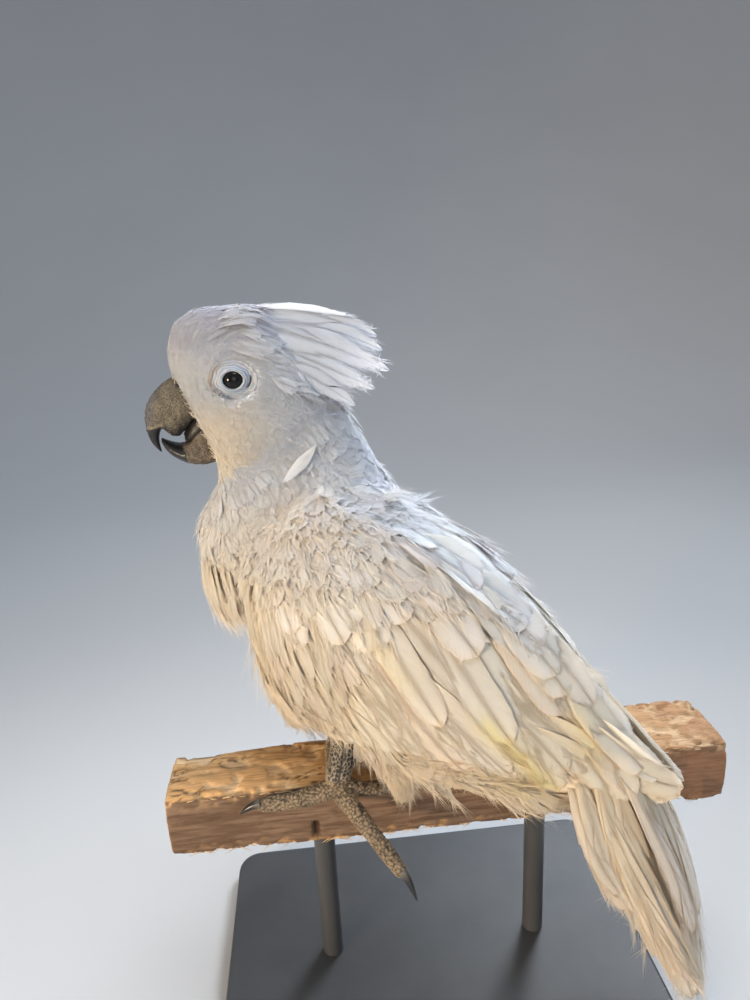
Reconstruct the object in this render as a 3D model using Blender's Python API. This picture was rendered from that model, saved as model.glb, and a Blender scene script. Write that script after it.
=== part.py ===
"""A white cockatoo standing on a cut length of square wooden perch, on a plain display stand.

Lengths are written in millimetres and turned into metres when a mesh is made. The origin is the
centre of the underside of the stand's base, +Z is up and the perch runs along X. The bird heads
towards -X and +Y, with its head turned to its own left and its tail hanging down past the perch.
"""

import math

import bmesh
import bpy
import numpy as np
from mathutils import Matrix, Vector, noise

MM = 0.001
GAP = 0.35  # between solids that touch

# Stand and perch
BASE_SIZE = (250.0, 170.0, 12.0)
BASE_CORNER = 14.0
BASE_EDGE = 2.0
ROD_RADIUS = 6.0
ROD_X = (-62.0, 62.0)
PERCH_SIZE = (308.0, 42.0, 38.0)
PERCH_X = 11.0
PERCH_UNDER = 110.0
PERCH_TOP = PERCH_UNDER + PERCH_SIZE[2]

# The bird: where its trunk and head are, and which way each faces, in degrees from +X
BODY_AT = (-47.0, 28.0, 0.0)
BODY_HEADING = 148.0
HEAD_AT = (-90.0, 36.5, 357.5)
HEAD_HEADING = 186.0
NECK_PIVOT = (-47.0, 28.0)
EYE_RADIUS = 6.2
EYE_OUT = 13.8
VOXEL = 2.6

COLOURS = {
    "plumage": (0.86, 0.84, 0.79, 0.8, 0.0),
    "bare_skin": (0.62, 0.68, 0.74, 0.6, 0.0),
    "eye": (0.012, 0.010, 0.009, 0.05, 0.0),
    "bill": (0.16, 0.15, 0.13, 0.55, 0.0),
    "foot": (0.24, 0.22, 0.18, 0.75, 0.0),
    "claw": (0.035, 0.03, 0.028, 0.3, 0.0),
    "wood": (0.62, 0.42, 0.24, 0.8, 0.0),
    "stand_metal": (0.10, 0.10, 0.11, 0.4, 0.9),
}


class Frame:
    """A place with its own forward, left and up directions."""

    def __init__(self, origin, heading):
        turn = math.radians(heading)
        self.origin = Vector(origin)
        self.forward = Vector((math.cos(turn), math.sin(turn), 0.0))
        self.left = Vector((-math.sin(turn), math.cos(turn), 0.0))
        self.up = Vector((0.0, 0.0, 1.0))

    def at(self, forward, left, up):
        return self.origin + self.forward * forward + self.left * left + self.up * up


BODY = Frame(BODY_AT, BODY_HEADING)
HEAD = Frame(HEAD_AT, HEAD_HEADING)

# Rings of the trunk and of the head and neck, seen from the side: the back's point and the
# breast's point, both as (forward, up), then the half width and how far the ring is turned from
# the head's heading towards the trunk's. They run from the rump to the shoulders, and from the
# face to where the neck sinks into the trunk.
TRUNK_RINGS = (
    ((-158, 172), (-150, 154), 10, 0),
    ((-153, 188), (-136, 141), 19, 0),
    ((-142, 209), (-116, 130), 26, 0),
    ((-125, 232), (-96, 134), 31, 0),
    ((-104, 253), (-74, 147), 36, 0),
    ((-83, 270), (-47, 162), 39, 0),
    ((-62, 284), (-20, 169), 40, 0),
    ((-45, 292), (4, 158), 40, 0),
    ((-30, 299), (26, 152), 39, 0),
    ((-18, 305), (37, 165), 37, 0),
    ((-8, 311), (43, 188), 36, 0),
    ((2, 316), (54, 219), 36, 0),
    ((12, 318), (76, 247), 34, 0),
    ((26, 314), (84, 272), 25, 0),
)
HEAD_RINGS = (
    ((27, -2), (15, -34), 11, 0),
    ((31, 4), (12, -42), 14, 0),
    ((32, 15), (11, -47), 16, 0),
    ((28, 27), (11, -52), 17.5, 0),
    ((19, 34), (13, -56), 18.8, 0),
    ((4, 36), (15, -60), 20, 0),
    ((-12, 32), (18, -65), 22.5, 0),
    ((-28, 21), (21, -70), 26, 0),
    ((-43, 5), (25, -77), 28, 2),
    ((-54, -14), (28, -86), 31, 6),
    ((-63, -34), (32, -96), 35, 12),
    ((-71, -52), (33, -108), 38, 20),
    ((-78, -68), (22, -122), 36, 28),
)

# The left wing in the trunk's frame, from its shoulder to its tip: upper edge and lower edge as
# (forward, left, up), how far it bows outwards and how thick it is.
WING_STATIONS = (
    ((31, 28, 266), (34, 34, 240), 4, 4),
    ((21, 26, 284), (25, 42, 214), 9, 9),
    ((4, 23, 293), (8, 46, 194), 15, 12),
    ((-22, 20, 295), (-20, 48, 184), 20, 14),
    ((-48, 18, 289), (-49, 47, 177), 20, 14),
    ((-78, 15, 272), (-78, 43, 169), 18, 13),
    ((-105, 12, 252), (-102, 37, 164), 15, 11),
    ((-129, 9, 229), (-124, 31, 161), 9, 8),
    ((-150, 6, 203), (-144, 24, 161), 6, 6),
    ((-167, 5, 182), (-162, 16, 161), 3, 4),
    ((-182, 4, 166), (-179, 9, 157), 1, 2),
)

TAIL_RINGS = (
    ((-146, 192), (-128, 162), 16, 0),
    ((-157, 168), (-133, 143), 23, 0),
    ((-168, 141), (-147, 121), 28, 0),
    ((-180, 112), (-167, 101), 29, 0),
    ((-189, 86), (-181, 80), 26, 0),
    ((-196, 64), (-191, 60), 20, 0),
    ((-200, 51), (-197, 48), 10, 0),
)

# The feathers over each thigh, in the trunk's frame: middle and half sizes along and across.
LEFT_THIGH = (
    ((-30, 26, 226), 24, 17),
    ((-32, 31, 206), 24, 16),
    ((-36, 35, 189), 21, 13),
    ((-46, 36, 172), 16, 10),
    ((-53, 36, 156), 11, 7),
    ((-57, 37, 141), 5, 4),
)
RIGHT_THIGH = (
    ((-42, -26, 226), 22, 18),
    ((-44, -24, 204), 22, 18),
    ((-46, -21, 186), 19, 16),
    ((-46, -19, 172), 15, 13),
    ((-44, -17, 162), 9, 8),
)

# The upper and lower bill in the head's frame, as rings of top point, low point and half width.
UPPER_BILL = (
    ((22, 2), (9, -14), 8, 0),
    ((30.8, 1.0), (18.7, -19.4), 11.5, 0),
    ((36.4, -2.4), (24.6, -24.4), 11.5, 0),
    ((41.0, -6.8), (29.5, -28.4), 10.2, 0),
    ((44.2, -11.9), (33.2, -28.0), 8.6, 0),
    ((45.6, -17.3), (34.6, -24.4), 7.0, 0),
    ((45.9, -23.0), (38.0, -24.6), 5.4, 0),
    ((44.6, -29.8), (39.7, -28.4), 3.6, 0),
    ((42.5, -33.7), (39.9, -32.0), 2.2, 0),
    ((40.0, -36.8), (39.4, -35.8), 0.6, 0),
)
LOWER_BILL = (
    ((9, -22), (8, -38), 8, 0),
    ((16.6, -21.6), (12.4, -43.4), 11.5, 0),
    ((21.6, -26.0), (18.4, -44.6), 12.4, 0),
    ((25.0, -31.0), (24.4, -43.8), 12.0, 0),
    ((29.3, -33.2), (29.0, -41.8), 10.2, 0),
    ((33.6, -32.2), (33.8, -38.8), 7.4, 0),
    ((37.0, -30.6), (37.0, -35.4), 4.4, 0),
    ((38.8, -29.4), (38.9, -31.6), 1.6, 0),
)

# The crest seen from the side, in the head's frame, from its root round its upper edge, its five
# worn tips and back below; then the body that this outline is cut from.
CREST_OUTLINE = (
    (-2, 31), (-10, 33), (-18, 31), (-25, 29.5), (-33, 29.2), (-47, 27), (-60, 22.6), (-70, 17.8),
    (-76, 13.6), (-70.4, 11.4), (-77.8, 5.7), (-74.4, 0.6), (-78.8, -8), (-67.8, -7), (-71.3, -14.1),
    (-61.9, -19.2), (-63.4, -24.6), (-56, -21), (-50, -12), (-44, -2), (-36, 8), (-24, 18), (-12, 25),
)
CREST_BODY = (
    ((4, 46), (4, -34), 7, 0),
    ((-15, 46), (-15, -34), 12, 0),
    ((-40, 44), (-40, -38), 12, 0),
    ((-60, 38), (-60, -44), 9, 0),
    ((-80, 30), (-80, -50), 4, 0),
)

# Legs and toes in the shared frame: middle line points and radii.
LEFT_TARSUS = (((-43, -17, 197), 7), ((-45, -19, 187), 8), ((-46.5, -22.5, 171), 8), ((-52, -26, 156), 6.2))
RIGHT_TARSUS = (((4, 18, 192), 7), ((4, 18, 183), 8), ((1, 16, 170), 7.6), ((-5, 12, 158.5), 6.2))
LEFT_TOES = {
    "left_toe_3": (((-53, -26, 149.8), 5.4), ((-72, -27, 145.6), 4.4), ((-91, -27, 144.4), 3.5)),
    "left_toe_4": (((-49, -30, 147), 5.2), ((-39, -42, 138), 4.4), ((-24, -57, 122), 3.6)),
    "left_toe_2": (((-53, -17, 153.0), 4.4), ((-53.5, -5, 152.3), 3.9), ((-54, 6, 152.2), 3.4)),
    "left_toe_1": (((-46, -26, 150), 4.4), ((-39, -26.5, 147.5), 3.8), ((-30, -26, 145.5), 3.2)),
}
RIGHT_TOES = {
    "right_toe_2": (((-9, 19, 152.5), 4.4), ((-18, 26.2, 147), 3.9), ((-26, 27, 136), 3.4)),
    "right_toe_3": (((-11, 10, 152.8), 4.8), ((-24, 13, 152.3), 4.1), ((-36, 18, 152.0), 3.5)),
    "right_toe_1": (((0, 7, 152.6), 4.4), ((8, 0, 152.3), 3.8), ((15, -6, 152.0), 3.3)),
    "right_toe_4": (((3, 13, 152.8), 4.8), ((17, 12, 152.3), 4.1), ((31, 8, 152.0), 3.5)),
}
CLAW_LENGTH = 13.0
CLAW_RADIUS = 2.3
CLAW_DROP = 6.0


def material(name):
    made = bpy.data.materials.get(name)
    if made is None:
        red, green, blue, roughness, metallic = COLOURS[name]
        made = bpy.data.materials.new(name)
        made.use_nodes = True
        shader = made.node_tree.nodes["Principled BSDF"]
        shader.inputs["Base Color"].default_value = (red, green, blue, 1.0)
        shader.inputs["Roughness"].default_value = roughness
        shader.inputs["Metallic"].default_value = metallic
    return made


def add(name, points, faces, colour, smooth=True):
    """A mesh object from points in millimetres, its faces turned outwards."""
    mesh = bpy.data.meshes.new(name)
    mesh.from_pydata([tuple(Vector(p) * MM) for p in points], [], faces)
    shell = bmesh.new()
    shell.from_mesh(mesh)
    bmesh.ops.recalc_face_normals(shell, faces=shell.faces)
    shell.to_mesh(mesh)
    shell.free()
    if smooth:
        mesh.shade_smooth()
    mesh.materials.append(material(colour))
    thing = bpy.data.objects.new(name, mesh)
    bpy.context.scene.collection.objects.link(thing)
    return thing


def helper(thing):
    """Marks a cutter or a guide, which isn't a part."""
    thing.hide_render = True
    thing.display_type = "WIRE"
    return thing


def settle(thing):
    """Applies the modifiers of a piece."""
    graph = bpy.context.evaluated_depsgraph_get()
    mesh = bpy.data.meshes.new_from_object(thing.evaluated_get(graph))
    thing.modifiers.clear()
    thing.data = mesh
    return thing


def smooth_values(stations, per_span):
    """Stations read as a smooth curve through all of them, with per_span steps between two."""
    rows = np.array(stations, float)
    padded = np.vstack((2 * rows[0] - rows[1], rows, 2 * rows[-1] - rows[-2]))
    out = []
    for i in range(len(rows) - 1):
        before, start, end, after = padded[i : i + 4]
        for step in range(per_span):
            t = step / per_span
            out.append(
                0.5 * (2 * start + (end - before) * t
                       + (2 * before - 5 * start + 4 * end - after) * t ** 2
                       + (3 * start - before - 3 * end + after) * t ** 3)
            )
    out.append(rows[-1])
    return np.array(out)


def tube_faces(rings, around):
    """Quads between rings of points, with a face across each end."""
    faces = [tuple(range(around))[::-1]]
    for r in range(rings - 1):
        for k in range(around):
            n = (k + 1) % around
            faces.append((r * around + k, r * around + n, (r + 1) * around + n, (r + 1) * around + k))
    faces.append(tuple((rings - 1) * around + k for k in range(around)))
    return faces


def profile_loft(name, frame, stations, colour, around=28, per_span=3, egg=0.0):
    """A body of oval rings given by back and breast points in a frame's side view.

    With egg above 0, each ring is widest below its middle.
    """
    rows = smooth_values([(*top, *low, half, turn) for top, low, half, turn in stations], per_span)
    points = []
    for top_f, top_u, low_f, low_u, half, twist in rows:
        twist = math.radians(-twist)
        for k in range(around):
            turn = 2 * math.pi * k / around
            share = 0.5 + 0.5 * math.cos(turn)
            forward = low_f + (top_f - low_f) * share
            up = low_u + (top_u - low_u) * share
            side = half * math.sin(turn) * (1 - egg * math.cos(turn))
            point = frame.at(forward, side, up)
            x, y = point.x - NECK_PIVOT[0], point.y - NECK_PIVOT[1]
            point.x = NECK_PIVOT[0] + x * math.cos(twist) - y * math.sin(twist)
            point.y = NECK_PIVOT[1] + x * math.sin(twist) + y * math.cos(twist)
            points.append(point)
    return add(name, points, tube_faces(len(rows), around), colour)


def boolean(thing, other, operation):
    cut = thing.modifiers.new("Cut", "BOOLEAN")
    cut.operation = operation
    cut.object = other
    cut.solver = "EXACT"
    return settle(thing)


def grown(thing, by=GAP):
    """A helper copy of a piece, a little larger all round."""
    copy = thing.copy()
    copy.data = thing.data.copy()
    bpy.context.scene.collection.objects.link(copy)
    swell = copy.modifiers.new("Grow", "DISPLACE")
    swell.strength = by * MM
    swell.mid_level = 0.0
    return helper(settle(copy))


def fit(thing, *neighbours):
    """Cuts a piece so that it stays just clear of its neighbours."""
    for other in neighbours:
        cutter = grown(other)
        boolean(thing, cutter, "DIFFERENCE")
        bpy.data.objects.remove(cutter)
    return thing


def thin_out(thing, share):
    less = thing.modifiers.new("Decimate", "DECIMATE")
    less.ratio = share
    less.use_collapse_triangulate = True
    return settle(thing)


def half_space(name, point, direction, size=400.0):
    """A big box that begins at a plane and lies on the side that direction points to."""
    bpy.ops.mesh.primitive_cube_add(size=size * MM)
    box = bpy.context.object
    box.name = name
    turn = Vector(direction).to_track_quat("Z", "Y")
    box.matrix_world = Matrix.Translation(
        (Vector(point) + Vector(direction).normalized() * size / 2) * MM
    ) @ turn.to_matrix().to_4x4()
    bpy.context.view_layer.update()
    return helper(box)


def slice_between(whole, name, planes):
    """The stretch of a body that lies beyond each of these planes."""
    piece = whole.copy()
    piece.data = whole.data.copy()
    piece.name = name
    piece.hide_render = False
    piece.display_type = "TEXTURED"
    bpy.context.scene.collection.objects.link(piece)
    for point, direction in planes:
        side = Vector(direction).normalized()
        box = half_space("side_of_" + name, Vector(point) + side * GAP / 2, side)
        boolean(piece, box, "INTERSECT")
        bpy.data.objects.remove(box)
    return piece


def make_flesh():
    """Trunk, neck and head as one smooth body, then parted by two thin cuts."""
    whole = profile_loft("trunk_form", BODY, TRUNK_RINGS, "plumage", egg=0.08)
    head = profile_loft("head_form", HEAD, HEAD_RINGS, "plumage", egg=0.16)
    boolean(whole, head, "UNION")
    bpy.data.objects.remove(head)
    remesh = whole.modifiers.new("Remesh", "REMESH")
    remesh.mode = "VOXEL"
    remesh.voxel_size = VOXEL * MM
    soften = whole.modifiers.new("Smooth", "SMOOTH")
    soften.factor = 0.5
    soften.iterations = 8
    settle(whole)
    thin_out(whole, 0.032)
    nape, throat = HEAD.at(-52, 0, -12), HEAD.at(14, 0, -54)
    down_neck = (throat - nape).cross(HEAD.left)
    mantle, breast = HEAD.at(-74, 0, -50), HEAD.at(26, 0, -78)
    into_trunk = (breast - mantle).cross(HEAD.left)
    if down_neck.z > 0:
        down_neck.negate()
    if into_trunk.z > 0:
        into_trunk.negate()
    pieces = {
        "head": slice_between(whole, "head", [(nape, -down_neck)]),
        "neck": slice_between(whole, "neck", [(nape, down_neck), (mantle, -into_trunk)]),
        "trunk": slice_between(whole, "trunk", [(mantle, into_trunk)]),
    }
    bpy.data.objects.remove(whole)
    return pieces


def make_wing(name, side, stations):
    """A folded wing: a bowed shell between its upper and lower edge."""
    rows = smooth_values([(*top, *low, bow, thick) for top, low, bow, thick in stations], 2)
    half, points = 6, []
    for row in rows:
        top, low, bow, thick = row[0:3], row[3:6], row[6], row[7]
        chord = Vector(low - top)
        out = Vector((0.0, -chord.z, chord.y)).normalized()
        for k in range(2 * half):
            across = k / half if k < half else (2 * half - k) / half
            swell = math.sin(math.pi * across)
            depth = 0.6 if k < half else -0.6 - (thick - 1.2) * swell ** 0.6
            if k in (0, half):
                depth = 0.0
            at = Vector(top) + chord * across + out * (bow * swell + depth)
            points.append(BODY.at(at.x, side * at.y, at.z))
    return add(name, points, tube_faces(len(rows), 2 * half), "plumage")


def make_thigh(name, stations):
    rows = smooth_values([(*middle, along, wide) for middle, along, wide in stations], 1)
    around, points = 12, []
    for forward, left, up, along, wide in rows:
        for k in range(around):
            turn = 2 * math.pi * k / around
            points.append(BODY.at(forward + along * math.cos(turn), left + wide * math.sin(turn), up))
    return add(name, points, tube_faces(len(rows), around), "plumage")


def make_crest():
    """The folded crest: its side outline cut from a body that narrows towards the tips."""
    count = len(CREST_OUTLINE)
    points = [HEAD.at(f, 20 * side, u) for side in (1, -1) for f, u in CREST_OUTLINE]
    faces = [tuple(range(count)), tuple(range(count, 2 * count))[::-1]]
    faces += [(k, (k + 1) % count, count + (k + 1) % count, count + k) for k in range(count)]
    outline = helper(add("crest_outline", points, faces, "plumage"))
    crest = profile_loft("crest", HEAD, CREST_BODY, "plumage", 14, 1)
    boolean(crest, outline, "INTERSECT")
    bpy.data.objects.remove(outline)
    return crest


def make_tube(name, stations, colour, around=8, per_span=2):
    """A limb along a smooth middle line, with rounded ends."""
    rows = smooth_values([(*middle, radius) for middle, radius in stations], per_span)
    middles = [Vector(row[:3]) for row in rows]
    first = middles[0] + (middles[0] - middles[1]).normalized() * rows[0][3] * 0.7
    last = middles[-1] + (middles[-1] - middles[-2]).normalized() * rows[-1][3] * 0.7
    middles = [first, *middles, last]
    radii = [rows[0][3] * 0.5, *[row[3] for row in rows], rows[-1][3] * 0.5]
    points = []
    side = None
    for i, (middle, radius) in enumerate(zip(middles, radii)):
        along = (middles[min(i + 1, len(middles) - 1)] - middles[max(i - 1, 0)]).normalized()
        if side is None:
            side = along.cross(Vector((0.13, 0.27, 1.0))).normalized()
        side = (side - along * side.dot(along)).normalized()
        other = along.cross(side)
        for k in range(around):
            turn = 2 * math.pi * k / around
            points.append(middle + (side * math.cos(turn) + other * math.sin(turn)) * radius)
    return add(name, points, tube_faces(len(middles), around), colour)


def make_claw(name, toe_stations, down):
    """A curved, tapered claw that leaves the end of a toe and bends down."""
    (before, _), (tip, radius) = toe_stations[-2], toe_stations[-1]
    along = (Vector(tip) - Vector(before)).normalized()
    drop = Vector(down).length
    down = Vector(down).normalized()
    stations = []
    for step in range(5):
        t = step / 4
        middle = Vector(tip) + along * (radius * 0.9 + CLAW_LENGTH * t * (1 - 0.2 * t))
        middle += Vector((0, 0, 1)) * 1.2 * (1 - t) + down * CLAW_DROP * drop * t * t
        stations.append((tuple(middle), CLAW_RADIUS * (1 - t) ** 0.7 + 0.35))
    return make_tube(name, stations, "claw", around=6, per_span=1)


def make_foot(side, tarsus, toes):
    leg = make_tube("tarsus_" + side, tarsus, "foot", around=12)
    made = [leg]
    for name, stations in toes.items():
        toe = make_tube(name, stations, "foot")
        fit(toe, *made, bpy.data.objects["perch"])
        made.append(toe)
    for name, stations in toes.items():
        hanging = stations[-1][0][2] < 140
        claw = make_claw(name.replace("toe", "claw"), stations, (0, 0, -1) if hanging else (0, 0, -0.6))
        fit(claw, bpy.data.objects[name], bpy.data.objects["perch"])


def make_eye(name, side):
    bpy.ops.mesh.primitive_uv_sphere_add(segments=14, ring_count=9, radius=EYE_RADIUS * MM)
    eye = bpy.context.object
    eye.name = name
    eye.data.name = name
    eye.data.transform(Matrix.Translation(HEAD.at(0, side * EYE_OUT, 0) * MM))
    eye.data.shade_smooth()
    eye.data.materials.append(material("eye"))
    return eye


def make_perch():
    """A length of square post with gnawed edges."""
    along, deep, high = PERCH_SIZE
    steps = (18, 3, 3)
    points, faces, index = [], [], {}
    for i in range(steps[0] + 1):
        for j in range(steps[1] + 1):
            for k in range(steps[2] + 1):
                if i in (0, steps[0]) or j in (0, steps[1]) or k in (0, steps[2]):
                    index[i, j, k] = len(points)
                    points.append(gnawed(i / steps[0], j / steps[1], k / steps[2]))
    for axis in range(3):
        u, v = [a for a in range(3) if a != axis]
        for level in (0, steps[axis]):
            for a in range(steps[u]):
                for b in range(steps[v]):
                    corners = []
                    for da, db in ((0, 0), (1, 0), (1, 1), (0, 1)):
                        at = [0, 0, 0]
                        at[axis], at[u], at[v] = level, a + da, b + db
                        corners.append(index[tuple(at)])
                    faces.append(tuple(corners))
    return add("perch", points, faces, "wood", smooth=False)


def gnawed(i, j, k):
    """A point of the post, drawn in a little where edges have been chewed."""
    along, deep, high = PERCH_SIZE
    x = PERCH_X + along * (i - 0.5)
    y = deep * (j - 0.5)
    z = PERCH_UNDER + high * k
    edge = max(0.0, 2 * abs(j - 0.5) - 0.4) * max(0.0, 2 * abs(k - 0.5) - 0.4)
    rough = 0.5 + noise.noise(Vector((x / 19.0, y / 9.0, z / 13.0)))
    away = max(0.0, min(1.0, (abs(x + 30) - 45) / 25))
    bite = (0.6 + 6.5 * edge * rough * (0.25 + 0.75 * away)) if edge > 0 else 0.0
    y -= math.copysign(bite, y) if abs(j - 0.5) > 0.4 else 0.0
    z -= math.copysign(bite * 0.8, k - 0.5) if abs(k - 0.5) > 0.4 else 0.0
    y += max(0.0, j - 0.5) * 16 * max(0.0, min(1.0, (x - 60) / 80))
    return (x, y, z)


def make_stand():
    long, deep, thick = BASE_SIZE
    bpy.ops.mesh.primitive_cube_add(size=1.0)
    base = bpy.context.object
    base.name = "stand_base"
    base.data.name = "stand_base"
    scale = Matrix.Diagonal((long * MM, deep * MM, thick * MM, 1.0))
    base.data.transform(Matrix.Translation((0, 0, thick / 2 * MM)) @ scale)
    bevel_edges(base, BASE_CORNER, 6, lambda a, b: abs(a.z - b.z) > 1e-5)
    bevel_edges(base, BASE_EDGE, 2, lambda a, b: min(a.z, b.z) > (thick - 0.1) * MM)
    base.data.materials.append(material("stand_metal"))
    for number, x in enumerate(ROD_X, 1):
        low, high = thick + GAP, PERCH_UNDER - GAP
        rows = [((x, 0, low), ROD_RADIUS), ((x, 0, high), ROD_RADIUS)]
        points = []
        for (cx, cy, z), radius in rows:
            for k in range(24):
                turn = 2 * math.pi * k / 24
                points.append((cx + radius * math.cos(turn), cy + radius * math.sin(turn), z))
        add(f"stand_rod_{number}", points, tube_faces(2, 24), "stand_metal", smooth=False)


def bevel_edges(thing, width, segments, chosen):
    shape = bmesh.new()
    shape.from_mesh(thing.data)
    edges = [e for e in shape.edges if chosen(e.verts[0].co, e.verts[1].co)]
    bmesh.ops.bevel(shape, geom=edges, offset=width * MM, segments=segments, profile=0.5, affect="EDGES")
    shape.to_mesh(thing.data)
    shape.free()


def main():
    for old in list(bpy.data.objects):
        bpy.data.objects.remove(old)
    perch = make_perch()
    make_stand()
    flesh = make_flesh()
    head, neck, trunk = flesh["head"], flesh["neck"], flesh["trunk"]
    fit(trunk, perch)
    left_wing = fit(make_wing("wing_left", 1, WING_STATIONS), trunk, neck)
    right_wing = fit(make_wing("wing_right", -1, WING_STATIONS), trunk, neck, left_wing)
    fit(profile_loft("tail", BODY, TAIL_RINGS, "plumage", 16, 1), trunk, left_wing, right_wing)
    for side in (1, -1):
        eye = make_eye("eye_left" if side > 0 else "eye_right", side)
        fit(head, eye)
    fit(profile_loft("bill_upper", HEAD, UPPER_BILL, "bill", 14, 1), head)
    fit(profile_loft("bill_lower", HEAD, LOWER_BILL, "bill", 14, 1), head)
    fit(make_crest(), head, neck)
    make_foot("left", LEFT_TARSUS, LEFT_TOES)
    make_foot("right", RIGHT_TARSUS, RIGHT_TOES)
    fit(left_wing, bpy.data.objects["tarsus_left"])
    for side, stations, wing in (("left", LEFT_THIGH, left_wing), ("right", RIGHT_THIGH, right_wing)):
        thigh = make_thigh("thigh_" + side, stations)
        fit(thigh, trunk, wing, perch, bpy.data.objects["tarsus_" + side])
    buried = ("tarsus_right", "tarsus_left", "right_toe_1", "right_claw_1")
    fit(trunk, *[bpy.data.objects[name] for name in buried])


main()
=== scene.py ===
"""Looks of the white cockatoo: skin, feathers, bill, eyes, feet, gnawed perch and plain stand.

Lengths are in millimetres in the shared frame until a mesh is made.
"""

import math
import time

import bmesh
import bpy
import numpy as np
from mathutils import Matrix, Vector, noise
from mathutils.bvhtree import BVHTree


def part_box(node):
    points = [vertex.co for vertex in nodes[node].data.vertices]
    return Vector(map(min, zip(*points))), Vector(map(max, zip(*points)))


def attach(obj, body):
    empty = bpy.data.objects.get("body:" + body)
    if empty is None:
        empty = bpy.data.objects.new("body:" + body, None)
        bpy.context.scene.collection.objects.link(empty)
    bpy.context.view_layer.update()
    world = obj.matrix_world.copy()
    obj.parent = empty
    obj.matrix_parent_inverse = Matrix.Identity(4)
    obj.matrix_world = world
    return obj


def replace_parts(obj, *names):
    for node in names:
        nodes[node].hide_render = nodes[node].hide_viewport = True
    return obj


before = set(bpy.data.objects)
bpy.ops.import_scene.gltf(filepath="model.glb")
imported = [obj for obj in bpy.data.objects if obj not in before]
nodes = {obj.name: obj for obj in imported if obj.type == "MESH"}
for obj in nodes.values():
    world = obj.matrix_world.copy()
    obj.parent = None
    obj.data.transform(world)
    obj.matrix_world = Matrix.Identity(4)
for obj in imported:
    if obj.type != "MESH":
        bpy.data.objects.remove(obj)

MM = 0.001
STARTED = time.time()
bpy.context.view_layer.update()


def said(what):
    """Prints a line of the log, with the time."""
    print(f"[{time.time() - STARTED:6.1f} s] {what}", flush=True)


# ---------------------------------------------------------------- frames of the body and the head


def risen(rise, span):
    """How much of a span has been risen, from 0 to 1."""
    return np.clip(rise / span, 0, 1)


def smoothstep(low, high, x):
    """0 at low and 1 at high, with soft ends. low may be above high."""
    t = risen(x - low, high - low)
    return t * t * (3 - 2 * t)


def bell(x, width):
    """1 at zero, falling off on both sides."""
    return np.exp(-((x / width) ** 2))


def unit(v):
    """Vectors at length one."""
    v = np.asarray(v, float)
    return v / np.maximum(np.linalg.norm(v, axis=-1, keepdims=True), 1e-9)


class Axes:
    """A place with its own forward, left and up directions, in millimetres."""

    def __init__(self, origin, heading):
        turn = math.radians(heading)
        self.origin = np.array(origin, float)
        self.basis = np.array(
            [
                [math.cos(turn), math.sin(turn), 0.0],
                [-math.sin(turn), math.cos(turn), 0.0],
                [0.0, 0.0, 1.0],
            ]
        )

    def at(self, places):
        return self.origin + np.asarray(places, float) @ self.basis

    def way(self, directions):
        return np.asarray(directions, float) @ self.basis

    def read(self, points):
        return (np.asarray(points, float) - self.origin) @ self.basis.T


BODY = Axes((-47.0, 28.0, 0.0), 148.0)
HEAD = Axes((-90.0, 36.5, 357.5), 186.0)


def head_planes(points):
    """Heights above the planes where the head ends and where the neck ends."""
    q = HEAD.read(points)
    first = np.array([42.0, 0.0, 66.0])
    second = np.array([28.0, 0.0, 100.0])
    one = (q - np.array([-52.0, 0.0, -12.0])) @ unit(first)
    two = (q - np.array([-74.0, 0.0, -50.0])) @ unit(second)
    return one, two


# ---------------------------------------------------------------- meshes


def mesh_of(obj):
    """Points in millimetres and triangles of an object."""
    data = obj.data
    data.calc_loop_triangles()
    points = np.empty(len(data.vertices) * 3, np.float64)
    data.vertices.foreach_get("co", points)
    faces = np.empty(len(data.loop_triangles) * 3, np.int32)
    data.loop_triangles.foreach_get("vertices", faces)
    return points.reshape(-1, 3) / MM, faces.reshape(-1, 3)


def paint(obj, name, colours):
    """A colour for each point, from rows of three or four numbers, or one number each."""
    colours = np.asarray(colours, np.float32)
    if colours.ndim == 1:
        colours = np.repeat(colours[:, None], 3, 1)
    if colours.shape[1] == 3:
        colours = np.hstack((colours, np.ones((len(colours), 1), np.float32)))
    layer = obj.data.color_attributes.new(name, "FLOAT_COLOR", "POINT")
    layer.data.foreach_set("color", colours.astype(np.float32).ravel())


def make(name, points, faces, colours=None, uv=None, material=None, ride=True):
    """A smooth mesh object from arrays: points in millimetres, faces of one size."""
    points = np.asarray(points, np.float32)
    faces = np.asarray(faces, np.int32)
    data = bpy.data.meshes.new(name)
    data.vertices.add(len(points))
    data.vertices.foreach_set("co", (points * MM).ravel())
    count, sides = faces.shape
    data.loops.add(count * sides)
    data.loops.foreach_set("vertex_index", faces.ravel())
    data.polygons.add(count)
    data.polygons.foreach_set("loop_start", np.arange(count, dtype=np.int32) * sides)
    data.polygons.foreach_set("loop_total", np.full(count, sides, np.int32))
    data.update(calc_edges=True)
    data.shade_smooth()
    obj = bpy.data.objects.new(name, data)
    bpy.context.scene.collection.objects.link(obj)
    if colours is not None:
        paint(obj, "Tint", colours)
    if uv is not None:
        layer = data.uv_layers.new(name="OFBake")
        layer.data.foreach_set("uv", np.asarray(uv, np.float32)[faces.ravel()].ravel())
    if material is not None:
        data.materials.append(material)
    if ride:
        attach(obj, "root")
    return obj


def settle(obj):
    """Applies the modifiers of an object."""
    graph = bpy.context.evaluated_depsgraph_get()
    data = bpy.data.meshes.new_from_object(obj.evaluated_get(graph))
    obj.modifiers.clear()
    obj.data = data
    return obj


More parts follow.
